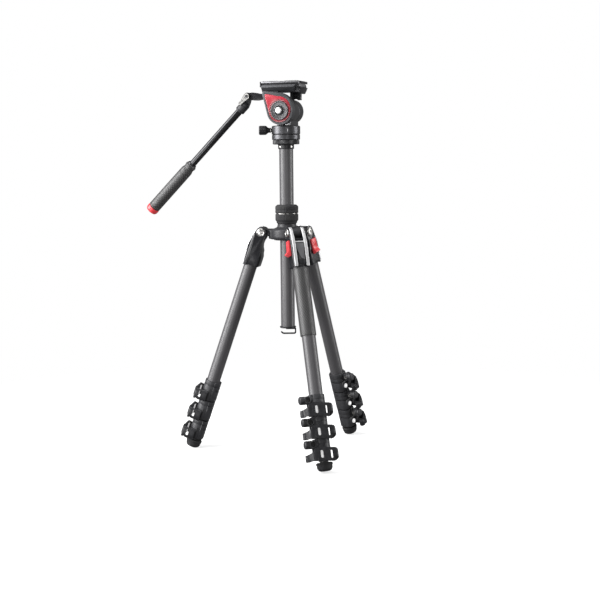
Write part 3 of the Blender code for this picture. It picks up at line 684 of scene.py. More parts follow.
def lever(side, number, place, body):
    """The pierced lever that wraps the outside of a lock, with a link behind its windows that glows
    white, which is painted light.
    """
    top = LOCK_TOPS[number]
    high, low, tail = -top - 16.4, -top - 42.3, -top - 46.2
    middle = (high + low) / 2 - 0.8

    def add(name, made, finish="moulded", **options):
        piece(f"{side}_lever_{name.format(number + 1)}", made, finish, body, place, **options)

    band = [(23.3, -26.0), (26.9, -28.2, 2), (27.3, -14), (27.6, 9.0, 4), (28.6, 18.6, 3.5),
            (25.0, 22.3, 4), (12.0, 22.3, 3), (0.0, 21.5, 1), (0.0, 19.0, 1), (19.0, 19.0, 3),
            (23.3, 15.0, 3)]
    windows = [prism(slot_outline(6.2, 14.6, -11.4, middle), 20.5, 40, "YZ"),
               prism(slot_outline(7.2, 15.0, 7.6, middle - 1.2), 20.5, 40, "YZ"),
               prism(slot_outline(5.4, 13.4, 15.2, middle - 0.8), 15, 30, "XZ")]
    above = [(-50, high - 8), (-29, high - 6.0), (-25.5, high - 3.4), (-22.0, high - 1.4),
             (-16.5, high), (24, high - 3.6), (34, high + 9), (-50, high + 9)]
    below = [(-50, low), (-20, low), (24, tail + 0.2), (34, tail - 9), (-50, tail - 9)]
    wing_low = [(30, high - 17), (27.4, high - 20), (13.0, tail - 0.5), (13.0, tail - 9),
                (34, tail - 9), (34, high - 17)]
    wing_high = ([(34, high - 6.5), (28.6, high - 6.5)]
                 + [(x, high - 6.5 + z) for x, z in arc((22.4, 0.0), 6.2, 8, 90, 6)]
                 + [(22.4, high + 6), (34, high + 6)])
    add("band_{}", prism(rounded(band, 1.5, 6), tail, high), node=f"{side}_lever_{number + 1}",
        bevel=1.4, steps=4, sharp=35,
        cut=windows + [prism(above, -10, 60, "YZ"), prism(below, -10, 60, "YZ"),
                       lever_corner(high - 2.6, 1), lever_corner(tail + 0.4, -1),
                       prism(wing_low, 13, 30, "XZ"), prism(wing_high, 15, 30, "XZ")])
    add("web_{}", prism(rounded(rect(13.0, -21.4, 24.0, -19.8), 0.4), low + 0.4, high - 1.6),
        bevel=0.3)
    arm = [(27.2, -20.0, 0.5), (23.3, -20.0, 0.5), (22.8, -26.6), (17.0, -31.2), (12.4, -31.2),
           (12.4, -35.8), (19.0, -36.6, 2), (27.2, -28.2, 2)]
    above = [(-50, high - 12.6), (-35, high - 12.4), (-31.5, high - 11.0), (-27.0, high - 7.6),
             (-22, high - 3.9), (-22, high + 9), (-50, high + 9)]
    add("arm_{}", prism(rounded(arm, 1.2), low + 0.05, high - 4), bevel=0.9, steps=3, sharp=35,
        cut=[prism(above, -10, 60, "YZ")])
    rim = high - 15.0
    barrel = rounded([(2.2, low + 0.05), (5.5, low + 0.05), (5.5, rim), (2.2, rim)], 1.6, 4)
    neck = [(6.0, -38.3), (13.4, -36.2), (13.4, -31.0), (6.0, -28.0)]
    add("barrel_{}", turned(barrel, 56, centre=(*PIVOT, 0)), sharp=35,
        join=[prism(neck, low + 0.9, rim - 0.5)],
        cut=[rod(2.2, low - 10, high, 31, centre=(*PIVOT, 0))])
    for k, angle in enumerate((-78, -46, -14)):
        turn = math.radians(angle)
        spot = (PIVOT[0] + 5.5 * math.cos(turn), PIVOT[1] + 5.5 * math.sin(turn), 0)
        add(f"ridge_{{}}_{k + 1}", pill(0.65, low + 0.8, rim - 0.8, 0.3, 16, centre=spot),
            "moulded_grey")
    link = rounded(rect(22.4, -16.8, 23.6, -6.0), 0.5)
    # The link glows white through its finish: painted light that keeps the windows bright.
    add("link_{}", prism(link, middle - 9.6, middle + 9.6), "bright", bevel=0.3)


def foot(side, place, body):
    """The rubber foot with its moulded rings."""
    bottom = (HINGE_Z + (OFFSET - 9.0) * math.sin(SPREAD)) / math.cos(SPREAD) - 0.15
    outline = [(8.55, -453.5, 0), (14.2, -453.5), (16.0, -454.6), (16.1, -457.6), (15.1, -458.6),
               (15.0, -bottom + 7.25, 3), (13.6, -bottom + 2.65, 2), (9.0, -bottom, 2),
               (0, -bottom, 0), (0, -458.5, 0), (8.55, -458.5, 0)]

    def tread(angle, radius, height):
        return 0.12 * math.cos(30 * angle) if radius > 14.5 else 0.0

    piece(f"{side}_rubber_foot", turned(rounded(outline, 0.8, 4), 120, ripple=tread), "rubber",
          body, place, node=f"{side}_foot", sharp=30)


def leg_grip(place, body):
    """The embossed leather wrap on one leg, with its stitched seam."""
    outline = [(13.8, -207.9, 0), (15.0, -207.9), (15.3, -206.8), (15.3, -74.6), (15.0, -73.6),
               (13.8, -73.6, 0)]
    seam = math.radians(-112)
    piece("leather_grip", turned(rounded(outline, 0.4, 2), 96), "leather", body, place,
          node="leg_grip", sharp=30)
    for name, turn in (("left", seam - 0.07), ("right", seam + 0.07)):
        x, y = 15.35 * math.cos(turn), 15.35 * math.sin(turn)
        piece(f"leather_edge_{name}",
              rod(0.42, -207.0, -74.4, 12, centre=(x, y, 0)), "rubber", body, place)
    stitches = bmesh.new()
    for k in range(37):
        low = -205.5 + 3.55 * k
        bead = rod(0.33, -1.25, 1.25, 8)
        tilt = Matrix.Rotation(0.35, 4, Vector((math.cos(seam), math.sin(seam), 0)))
        spot = Matrix.Translation((15.5 * math.cos(seam), 15.5 * math.sin(seam), low + 1.2))
        moved(bead, spot @ tilt)
        mesh = bpy.data.meshes.new("bead")
        bead.to_mesh(mesh)
        bead.free()
        stitches.from_mesh(mesh)
        bpy.data.meshes.remove(mesh)
    piece("leather_stitches", stitches, "thread", body, place)


for side in SIDES:
    HINGE = leg_frame(side)
    TUBE = HINGE @ Matrix.Translation((OFFSET, 0, 0))
    upper, last = f"{side}_leg", f"{side}_leg_section_4"
    crown(side, HINGE, upper)
    hinge_bolt(side, HINGE, upper)
    angle_lock(side, HINGE, f"{side}_angle_stop")
    carbon_tube(f"{side}_carbon_1", TUBES[0], -338.4, TUBE_TOPS[0], TUBE, upper, f"{side}_tube_1")
    lock(side, 0, TUBE, upper, f"{side}_lock_1")
    for number in (1, 2):
        section, node = f"{side}_leg_section_{number + 1}", f"{side}_section_{number + 1}"
        carbon_tube(f"{side}_carbon_{number + 1}", TUBES[number], -LOCK_TOPS[number] - 14.5,
                    TUBE_TOPS[number], TUBE, section, node)
        lock(side, number, TUBE, section, node)
    carbon_tube(f"{side}_carbon_4", TUBES[3], -458.2, TUBE_TOPS[3], TUBE, last, f"{side}_tube_4")
    foot(side, TUBE, last)
    for number in range(3):
        lever(side, number, TUBE, f"{side}_flip_{number + 1}")
    if side == "front":
        leg_grip(TUBE, upper)


# ---- spider and centre column --------------------------------------------------------
BORE = 14.3  # what the column slides in
COLLAR_RIBS = (44, 0.55)  # how many, and how high


def arm_turn(side):
    """The turn about the column's axis that brings x onto a leg's arm."""
    axis = JOINTS[f"{side}_leg_hinge"]["axis"]
    return Matrix.Rotation(math.atan2(-axis[1], -axis[0]) - math.pi / 2, 4, "Z")


def spider():
    """The hub: a turned body with three shouldered arms, drilled knuckles and a spirit level."""
    profile = [(BORE, 431, 0), (25.2, 431), (30.2, 435.0), (31.0, 438.0), (31.0, 449.5),
               (29.2, 452.6), (24.0, 455.4), (19.6, 457.2, 2), (18.6, 463.6, 0.5), (BORE, 463.6, 0)]
    arms, holes, shoulders = [], [], []
    arm = [(20, -14.5), (30, -14.5), (38.5, -6.8)] + arc((HINGE_R, 0), 10, -137, 137, 28)
    arm += [(38.5, 6.8), (20, 6.8)]
    shoulder = rounded([(18, -13.2, 0), (31.5, -13.2, 3), (36.4, -8.4, 3), (36.4, 8.4, 3),
                        (31.5, 13.2, 3), (18, 13.2, 0)], 3)
    for side in SIDES:
        raise_up = Matrix.Translation((0, 0, HINGE_Z)) @ arm_turn(side)
        arms.append(moved(softened(prism(arm, -8.3, 8.3, "XZ"), 1.1, 3, 50), raise_up))
        shoulders.append(moved(softened(prism(shoulder, -13.4, 4.4), 2.0, 3, 50), raise_up))
        holes.append(moved(rod(4.3, -20, 20, 40, "Y", (HINGE_R, 0, 0)), raise_up))
    piece("spider_casting", turned(rounded(profile, 1.4), 96), "moulded_grey", "spider",
          node="spider", join=arms + shoulders, cut=holes + [rod(BORE, 400, 500, 96)], bevel=0.6,
          sharp=35)
    level = AXIS @ arm_turn("right") @ Matrix.Translation((30.5, 0, 451.2))
    rim = [(5.2, 0), (6.9, 0), (6.9, 3.0), (6.4, 3.5), (5.6, 3.5), (5.2, 3.1)]
    vial = [(0, 0.4, 0), (5.1, 0.4), (5.1, 3.0, 1.0), (0, 3.5, 0)]
    bubble = [(1.2, 3.35), (1.5, 3.45), (1.5, 3.6), (1.2, 3.7)]
    piece("level_ring", turned(rim, 48), "dark_steel", "spider", level)
    piece("level_vial", turned(rounded(vial, 0.3), 48), "vial", "spider", level)
    piece("level_bubble", turned(bubble, 32), "dark_steel", "spider", level)


def flutes(count, depth, low, high):
    """Rounded ribs between two heights."""
    def ripple(angle, radius, height):
        return depth * (abs(math.cos(count * angle / 2)) - 0.6) if low < height < high else 0.0
    return ripple


def collars():
    """Two rubber-covered screw collars that lock the column and its sleeve."""
    lower = [(BORE, 463.9, 0), (19.2, 463.9), (19.4, 465.2), (20.4, 465.4), (20.7, 468.6),
             (21.6, 469.0), (22.7, 471.4), (22.9, 472.6), (22.9, 481.6), (22.6, 482.8),
             (21.4, 483.9), (BORE, 483.9, 0)]
    upper = [(BORE, 484.5, 0), (21.4, 484.5), (22.6, 485.6), (22.9, 486.8), (22.9, 490.6),
             (22.5, 491.0), (22.5, 491.8), (22.9, 492.2), (22.9, 497.6), (22.4, 499.2),
             (20.2, 500.9), (19.2, 501.9), (BORE, 501.9, 0)]
    for name, outline, edge, ribbed, body, node in (
            ("sleeve_collar", lower, 0.35, (471.0, 483.0), "sleeve_lock", "sleeve_lock_ring"),
            ("column_collar", upper, 0.3, (485.2, 499.0), "column_lock", "column_lock_collar")):
        shape = turned(rounded(outline, edge, 2), 240, ripple=flutes(*COLLAR_RIBS, *ribbed))
        piece(name, shape, "rubber", body, node=node, sharp=32)
    piece("collar_gap_ring", turned(rect(20.9, 483.95, 21.2, 484.4), 96), "steel", "sleeve_lock")


def column():
    """The centre column, its top plate with set screws, and the cap and hook below."""
    piece("column_carbon", turned([(14.0, 256.8), (14.0, 620.9), (12.6, 620.9), (12.6, 256.8)], 96),
          "carbon", "column", node="column_tube", sharp=30)
    plate = [(0, 630.4, 0), (0, 621.5, 0), (14.3, 621.5, 0), (14.3, 612.8, 0), (15.4, 612.8),
             (15.9, 613.6), (15.9, 620.4), (17.0, 621.9), (25.4, 621.9), (26.4, 622.8),
             (26.4, 629.6), (25.8, 630.4)]

    def knurl(angle, radius, height):
        return 0.22 * math.cos(72 * angle) if radius > 26 and 622.5 < height < 630 else 0.0

    piece("column_platform", turned(rounded(plate, 0.3, 2), 288, ripple=knurl), "moulded",
          "column", node="column_top_plate", sharp=32)
    for k in range(4):
        turn = Matrix.Rotation(math.radians(-118 + 90 * k), 4, "Z")
        spot = turn @ Matrix.Translation((0, 0, 616.9))
        piece(f"plate_set_screw_{k + 1}", moved(pill(1.9, 14.6, 16.3, 0.3, 32, "X"), spot), "steel",
              "column", cut=[moved(rod(0.9, 15.7, 17, 6, "X"), spot)])
    cap = [(2.5, 253.2, 0), (15.2, 253.2), (16.4, 254.2), (16.4, 255.8), (15.6, 256.6),
           (12.2, 256.6, 0), (12.2, 269.8, 0), (2.5, 269.8, 0)]
    piece("column_foot_cap", turned(rounded(cap, 0.4, 3), 96), "moulded", "column",
          node="hook_cap", sharp=35)
    swivel = AXIS @ Matrix.Rotation(TURN, 4, "Z")
    bar = [(-4.0, 252.6, 0.6), (16.0, 252.6, 1.0), (16.5, 252.0, 0.6), (16.5, 243.0, 2.2),
           (14.0, 240.5, 2.2), (-10.5, 240.5, 2.2), (-14.9, 244.5, 0.8), (-13.2, 246.4, 0.8),
           (-9.5, 243.2, 1.6), (12.5, 243.2, 1.4), (13.8, 244.5, 1.2), (13.8, 250.3, 0.8),
           (-4.0, 250.3, 0.6)]
    piece("ballast_hook", softened(prism(rounded(bar, 1, 4), -2.8, 2.8, "XZ"), 0.7, 3, 60),
          "moulded", "hook", swivel, node="weight_hook", join=[rod(2.2, 251.5, 264.8, 32)])


spider()
collars()
column()


# ---- fluid head ----------------------------------------------------------------------
PAD_RIBS = 14  # on each of the plate's two pads


def pan_base():
    """Base ring, pan ring with its groove, pedestal and drum, and the pan lock knob."""
    base = [(0, 630.9, 0), (27.2, 630.9), (28.0, 631.8), (28.0, 640.3), (27.5, 640.9),
            (9.0, 640.9, 0), (9.0, 649.8, 0), (0, 649.8, 0)]
    piece("head_base_ring", turned(rounded(base, 0.3, 3), 120), "alloy_pan", "column",
          node="head_base", sharp=32)
    ring = [(0, 650.6, 0), (9.3, 650.6, 0), (9.3, 641.4, 0), (27.6, 641.4), (28.5, 642.2),
            (28.5, 656.6, 1.2), (27.0, 658.6, 1.5), (0, 659.4, 0)]
    aim = Matrix.Translation((0, 0, 650.0)) @ Matrix.Rotation(math.radians(201.5), 4, "Z")
    drum = [(0, -19.4, 0), (22.0, -19.4, 1.0), (23.9, -17.6), (23.9, 14.0), (23.4, 14.4),
            (23.4, 15.4), (23.9, 15.8), (23.9, 37.8, 1.5), (21.4, 40.4, 1.0), (16.5, 40.4),
            (16.0, 39.6), (8.0, 39.6), (7.6, 40.3), (0, 40.3, 0)]
    neck = rounded(rect(-14.6, -14.2, 14.6, 34.6), 5, 5)
    piece("pan_ring", turned(rounded(ring, 0.6, 4), 120), "alloy_pan", "pan", node="pan_housing",
          sharp=32, bevel=0.3,
          join=[prism(neck, 657.0, 676.0), turned(rounded(drum, 0.4, 3), 120, *TILTED)],
          cut=[rod(6.5, -30, 50, 64, *TILTED), moved(rod(3.9, 21, 40, 40, "X"), aim),
               turned(rect(28.1, 642.9, 40, 643.6), 120),
               prism(slot_outline(8, 3.0, 0, 664.5), -14.9, -13.4, "XZ")])
    piece("pedestal_plate", prism(rounded(rect(4.5, 658.9, 13.2, 663.6), 0.8), -15.6, -14.0, "XZ"),
          "trim", "pan", bevel=0.3)
    spot = Matrix.Translation((0, 0, 649.5)) @ Matrix.Rotation(math.radians(-62), 4, "Z")
    piece("pan_ring_mark", moved(prism(slot_outline(1.1, 5.0), 28.2, 28.65, "YZ"), spot), "trim",
          "pan")
    knob = [(0, 21.6, 0), (3.5, 21.6, 0), (3.5, 30.0), (4.6, 31.0), (5.0, 35.4), (7.2, 37.6),
            (8.7, 39.6, 1.2), (9.0, 42.2), (9.0, 52.0, 1.5), (7.8, 53.9, 1.0), (4.4, 53.9),
            (4.0, 53.3), (0, 53.3, 0)]

    def flute(angle, radius, height):
        return 0.5 * (abs(math.cos(8 * angle)) - 0.7) if radius > 7 and 39 < height < 53.5 else 0.0

    piece("pan_knob", moved(turned(rounded(knob, 0.5, 3), 128, "X", ripple=flute), aim), "moulded",
          "pan_lock", node="pan_lock_knob", sharp=35)
    collar = [(3.6, 29.6), (5.2, 29.8), (5.3, 31.0), (3.6, 31.2)]
    piece("pan_knob_collar", moved(turned(collar, 48, "X"), aim), "steel", "pan_lock")


def teardrop(radius, crest, tip_x, tip_z, tip_r):
    """A circle about the tilt axis, swelling to crest above it, drawn out to a rounded tip."""
    swell = []
    for turn in range(99, 0, -6):
        reach = radius + (crest - radius) * (turn / 99) ** 1.2
        a = math.radians(turn)
        swell.append((reach * math.cos(a), TILT + reach * math.sin(a)))
    return (swell + arc((0, TILT), radius, 0, -160, 50)
            + arc((tip_x + tip_r, TILT + tip_z - tip_r), tip_r, 190, 90, 10))


def tilt_frame():
    """The tilting casting: side plate, platform, brackets and axle, with its trim."""
    low, crest, high = 724.5, 733.7, 739.3
    cross = [(-20.0, low, 1.0), (-27.4, crest, 0.5), (-24.0, high, 0.4), (-15.0, high, 0.4),
             (-17.8, 734.0, 0.2), (17.8, 734.0, 0.2), (15.0, high, 0.4), (24.0, high, 0.4),
             (27.4, crest, 0.5), (20.0, low, 1.0)]
    side = prism(teardrop(27.5, 35.7, -37.0, 38.5, 5.0), -33.0, -19.8, "XZ")
    floor = teardrop(23.4, 29.0, -31.9, 33.4, 3.4)
    bevelled_end = [(40, 741), (40, 719), (23.5, 719), (27.0, 733.0), (33.2, 741)]
    brackets = [block((x, 18.1, 709.5), (x + 6.6, 26.2, 727)) for x in (2.5, 17.9)]
    piece("tilt_casting", prism(rounded(cross, 0.4, 3), -41.5, 34.5, "YZ"), "alloy", "tilt",
          node="tilt_frame", sharp=32,
          join=[side, block((-39.4, -20.2, 709.6), (-26.2, -2.2, 726.5)),
                block((-34.8, -21.1, 720.0), (-8.2, -15.2, 726.3)),
                rod(6.1, -21.0, 42.0, 64, *TILTED)] + brackets,
          cut=[prism(bevelled_end, -60, -14.0, "XZ"), prism(floor, -40, -32.1, "XZ"),
               rod(18.95, -40, -31.9, 97, *TILTED),
               rod(3.3, 19.5, 30, 41, "Y", (5.0, 0, 731.0))],
          bevel=0.7, steps=3)
    piece("bracket_web", block((7.5, 18.9, 711.5), (19.5, 25.4, 725.8)), "moulded", "tilt",
          bevel=0.4)
    piece("bracket_pin", rod(1.9, 2.0, 25.0, 32, "X", (0, 22.3, 713.6)), "steel", "tilt", bevel=0.3)
    end = rounded([(-14.5, 733.3), (-14.5, 729.0), (-11.8, 720.6, 1.5), (12.5, 720.6, 1.5),
                   (27.0, 731.8), (27.0, 733.3)], 0.8)
    piece("platform_end", prism(end, 33.2, 36.8, "YZ"), "gloss_black", "tilt", bevel=0.5, steps=3,
          cut=[block((35.9, -20, 730.2), (40, 30, 731.4))])
    panel = teardrop(22.9, 28.4, -31.5, 33.0, 3.2)
    piece("teardrop_trim", prism(panel, -33.6, -32.15, "XZ"), "crimson", "tilt",
          node="red_trim", sharp=32, cut=[rod(19.0, -50, 0, 97, *TILTED)], bevel=0.4,
          steps=3)
    for name, low, high, finish in (("band", 19.1, 22.7, "crimson_deep"),
                                    ("line_1", 19.9, 20.5, "crimson"),
                                    ("line_2", 21.5, 22.1, "crimson")):
        face = -34.0 if name == "band" else -34.35
        ring = rounded(rect(low, -33.5, high, face), 0.15, 2)
        piece(f"trim_ring_{name}", turned(ring, 120, *TILTED), finish, "tilt")


def dial():
    """The counterbalance dial: a dark face between two bright rims, with the button in it."""
    outline = [(9.7, -33.2, 0), (18.5, -33.2), (18.5, -35.0), (17.6, -36.4, 0.6),
               (16.4, -36.9, 0.4), (15.6, -36.0, 0.5), (11.4, -35.7, 0.3), (10.4, -35.2),
               (9.7, -34.2)]
    piece("dial_rim", turned(rounded(outline, 0.25, 3), 120, *TILTED), "graphite", "dial",
          node="tilt_dial", sharp=30)
    for name, low, high, face in (("outer", 17.1, 17.9, -36.95), ("inner", 10.1, 10.9, -36.2)):
        ring = rounded(rect(low, face + 1.5, high, face), 0.25, 3)
        piece(f"dial_ring_{name}", turned(ring, 120, *TILTED), "alloy_light", "dial")
    for k in range(5):
        turn = Matrix.Rotation(math.radians(20 + 30 * k), 4, "Y")
        spot = Matrix.Translation((0, 0, TILT)) @ turn
        piece(f"dial_tick_{k + 1}", moved(block((12.4, -36.7, -0.3), (15.0, -35.5, 0.3)), spot),
              "graphite", "dial")
    piece("dial_well", turned(rect(6.8, -32.6, 9.5, -34.0), 96, *TILTED), "rubber", "tilt")
    button = [(0, -33.8, 0), (6.4, -33.8), (6.4, -40.4), (5.6, -41.4, 0.6), (0, -41.5, 0)]
    piece("counterbalance_button", turned(rounded(button, 0.5, 3), 80, *TILTED), "trim",
          "button", node="tilt_button", sharp=35)


def plate():
    """The sliding plate on its dovetail, its pads, pin, end stop and camera screw."""
    cross = [(-17.2, 734.6), (-14.9, 739.0), (-14.9, 739.8), (-21.5, 739.8), (-26.1, 742.3),
             (-26.1, 744.6), (-25.4, 745.3), (25.4, 745.3), (26.1, 744.6), (26.1, 742.3),
             (21.5, 739.8), (14.9, 739.8), (14.9, 739.0), (17.2, 734.6)]
    slots = [prism(slot_outline(13, 2.2, x), 744.4, 750) for x in (-22, 21)]
    piece("sliding_plate", prism(rounded(cross, 0.5, 2), -42.0, 35.5, "YZ"), "alloy_light", "plate",
          node="quick_release_plate", sharp=30,
          cut=[rod(10.5, 730, 742, 64), rod(3.6, 740, 750, 48),
               block((-50, -26.6, 743.0), (50, -25.5, 743.7)),
               block((-50, 25.5, 743.0), (50, 26.6, 743.7))] + slots,
          bevel=0.3)
    end = [(-14.5, 745.2), (-14.5, 740.3), (26.6, 740.3), (26.9, 741.4), (26.4, 745.2)]
    piece("plate_end", prism(rounded(end, 0.8), 34.9, 36.8, "YZ"), "gloss_black", "plate",
          bevel=0.4)
    for name, start, end in (("rear", -40.6, -8.0), ("front", 8.0, 34.2)):
        ribs = [(start, 745.0)]
        pitch = (end - start) / PAD_RIBS
        for k in range(PAD_RIBS):
            a = start + k * pitch
            ribs += [(a + 0.1, 745.9), (a + pitch * 0.62, 745.98), (a + pitch * 0.72, 745.45),
                     (a + pitch * 0.98, 745.45)]
        ribs += [(end, 745.0)]
        cut = [rod(3.2, 740, 750, 32, centre=(-35.0, 0, 0))] if name == "rear" else []
        piece(f"plate_pad_{name}", prism(ribs, -23.6, 23.6, "XZ"), "rubber", "plate", cut=cut,
              bevel=0.1)
    piece("registration_pin", pill(2.0, 744.2, 747.1, 0.5, 40, centre=(-35.0, 0, 0)), "dark_steel",
          "plate")
    piece("plate_end_stop", block((-44.4, -26.0, 734.4), (-41.8, -17.0, 745.0)), "moulded", "plate",
          bevel=0.8, steps=3, cut=[block((-50, -30, 739.4), (-43.9, 0, 740.2))])
    screw = [(0, 735.3, 0), (9.9, 735.3), (9.9, 741.4), (3.1, 741.4, 0), (3.1, 746.6),
             (2.5, 747.3), (0, 747.3, 0)]
    piece("camera_screw_body", turned(rounded(screw, 0.4, 2), 72), "dark_steel", "screw",
          node="camera_screw", sharp=35, cut=[block((-12, -0.9, 730), (12, 0.9, 736.6))])
    for k in range(5):
        z = 742.6 + 0.8 * k
        piece(f"screw_thread_{k + 1}", turned([(2.9, z), (3.3, z + 0.3), (2.9, z + 0.6)], 48),
              "steel", "screw")
    knob = [(0, 20.6, 0), (3.0, 20.6, 0), (3.0, 29.0, 0), (7.5, 29.0), (8.4, 31.0),
            (8.4, 39.0, 1.2), (7.0, 40.9), (0, 40.9, 0)]

    def flute(angle, radius, height):
        return 0.45 * (abs(math.cos(7 * angle)) - 0.7) if radius > 6 and 30 < height < 40.5 else 0.0

    piece("plate_knob", turned(rounded(knob, 0.6, 3), 112, "Y", (5.0, 0, 731.0), flute), "moulded",
          "plate_lock", node="plate_lock_knob", sharp=35)


# ---- pan bar -------------------------------------------------------------------------
PIVOT_POINT = Vector(JOINTS["bar_fold"]["pos_m"]) - AXIS.translation
BAR_X, BAR_Y, BAR_Z = PIVOT_POINT / MM
DROP = math.radians(44.4)  # of the bar below the horizontal
BAR = AXIS @ Matrix.Translation((BAR_X, BAR_Y, BAR_Z)) @ Matrix.Rotation(math.pi - DROP, 4, "Y")
LINE = ("X", (0, 0, 6.0))  # the bar's own line, below its pivot


def elbow():
    """The forked arm that carries the bar."""
    reach = BAR_X + 16.0
    outline = [(-39.6, BAR_Z - 6.0, 0.4), (-39.6, BAR_Z + 5.0, 0.4), (-46.0, BAR_Z + 4.6),
               (-54.0, BAR_Z + 6.0), (reach, BAR_Z + 7.4), (reach - 6, BAR_Z + 7.9, 2)]
    outline += [(x, z, 0) for x, z in arc((BAR_X, BAR_Z), 8.0, 62, 304, 30)]
    outline += [(reach - 5, BAR_Z - 7.6, 2), (-54.0, BAR_Z - 8.0, 4), (-47.0, BAR_Z - 6.4, 3)]
    fork = rect(BAR_X - 30, BAR_Z - 30, reach, BAR_Z + 30)
    piece("elbow_arm", prism(rounded(outline, 2.5), BAR_Y - 6, BAR_Y + 6, "XZ"),
          "gloss_black", "tilt", node="bar_elbow", sharp=35,
          cut=[rod(3.3, -50, 50, 41, "Y", (BAR_X, 0, BAR_Z)),
               prism(fork, BAR_Y - 3.0, BAR_Y + 3.0, "XZ"),
               rod(5.9, BAR_Y - 7, BAR_Y - 5.6, 49, "Y", (BAR_X, 0, BAR_Z))],
          bevel=1.3, steps=4)


def bar():
    """Clamp, chromed bar, wrapped grip and coloured end cap."""
    body = arc((0, 0), 7.8, 100, 260, 30) + [(15.0, -3.5), (15.0, 15.0), (7.5, 12.5)]
    barrel = [(0, 11.0, 0), (7.4, 11.0), (9.5, 14.6), (9.8, 16.4), (9.8, 17.6), (9.2, 17.9),
              (9.2, 18.5), (9.8, 18.8), (9.8, 29.6), (9.2, 29.9), (9.2, 30.5), (9.8, 30.8),
              (9.8, 32.6), (9.3, 33.4), (8.6, 33.9), (0, 33.9, 0)]

    def tread(angle, radius, height):
        return 0.25 * math.cos(20 * angle) if radius > 9.5 and 19.4 < height < 29.0 else 0.0

    piece("bar_socket", turned(rounded(barrel, 0.25, 2), 160, *LINE, tread), "moulded_grey", "bar",
          BAR, node="bar_clamp", sharp=32, join=[prism(body, -2.7, 2.7, "XZ")],
          cut=[rod(3.3, -20, 20, 41, "Y"), rod(7.3, 22, 50, 63, *LINE)], bevel=0.25)
    tube = [(0, 22.4, 0), (7.0, 22.4), (7.0, 308.9), (0, 308.9, 0)]
    piece("bar_tube", turned(rounded(tube, 0.2, 2), 96, *LINE), "gloss_tube", "bar", BAR,
          node="pan_bar", sharp=35)
    grip = [(7.3, 184.5, 0), (9.2, 184.5), (11.4, 187.7, 1.5), (11.5, 190.3, 1.5),
            (10.4, 193.7, 1.5), (10.5, 196.3, 1.5), (12.1, 201.3, 2.0), (12.3, 209.0),
            (11.8, 209.4), (11.8, 210.2), (12.3, 210.6), (12.5, 258.0), (12.5, 303.6),
            (12.0, 304.0), (12.0, 304.8), (12.5, 305.2), (12.5, 307.9, 0.8), (11.8, 308.9, 0.5),
            (7.3, 308.9, 0)]
    piece("bar_grip_wrap", turned(rounded(grip, 0.3, 4), 120, *LINE), "leather", "bar", BAR,
          node="bar_grip", sharp=30)
    collar = [(7.3, 182.9), (8.8, 182.9), (9.2, 183.4), (9.2, 184.3), (7.3, 184.3)]
    piece("bar_grip_collar", turned(collar, 72, *LINE), "dark_steel", "bar", BAR)
    cap = [(0, 309.4, 0), (12.4, 309.4), (12.8, 310.3), (12.8, 316.5, 1.0), (11.0, 320.2, 1.5),
           (8.6, 320.2, 0.4), (8.2, 319.5, 0.4), (0, 319.5, 0)]
    piece("bar_end_cap", turned(rounded(cap, 0.5, 4), 96, *LINE), "red", "bar", BAR,
          node="grip_end_cap", sharp=32)


def bar_lock():
    """The bright lever and bolt that lock the bar's angle."""
    near = -10.1
    wing = [(x, z, 0) for x, z in arc((0, 0), 6.2, 62, 298, 30)]
    wing += [(14.0, -3.4), (21.4, -3.2, 1.5), (23.2, 0.0, 1.5), (21.4, 3.2, 1.5), (14.0, 3.4)]
    groove = rounded([(9.5, -1.1), (19.5, -1.0), (20.0, 0), (19.5, 1.0), (9.5, 1.1)], 0.6)
    piece("bar_lock_wing", prism(rounded(wing, 3), near - 2.5, near, "XZ"),
          "steel", "bar_lock", BAR, node="bar_lock_lever", sharp=35, bevel=0.5, steps=3,
          join=[rod(5.2, near - 0.2, -6.3, 47, "Y"), rod(3.0, near - 1, 8.0, 39, "Y"),
                rod(5.0, 6.3, 8.4, 45, "Y")],
          cut=[turned(rect(3.3, near - 3, 4.3, near - 2.0), 49, "Y"),
               prism(groove, near - 3, near - 2.0, "XZ")])
    head = [(0, near - 2.45), (3.2, near - 2.45), (3.2, near - 2.9), (2.4, near - 3.1),
            (0, near - 3.1)]
    piece("bar_lock_socket", turned(head, 48, "Y"), "dark_steel", "bar_lock", BAR,
          cut=[rod(1.5, near - 4, near - 2.6, 6, "Y")])


pan_base()
tilt_frame()
dial()
plate()
elbow()
bar()
bar_lock()


# ---- studio --------------------------------------------------------------------------
AMBIENT = 0.22  # what the studio walls give back, against a white of 1
FLOOR_GLOW = 0.45  # of the back-lit floor, as the camera sees it
FLOOR_RADIUS, FLOOR_DROP = 2.2, 0.0006
AIM_Z = 0.42  # the height that the lights look at
LENS_MM, SENSOR_MM = 74.82, 36.0
CAMERA_AWAY, CAMERA_Z = 2.50791, 0.5763
YAW, PITCH, ROLL = 0.00986, 0.10609, -0.00975  # of the camera, in radians


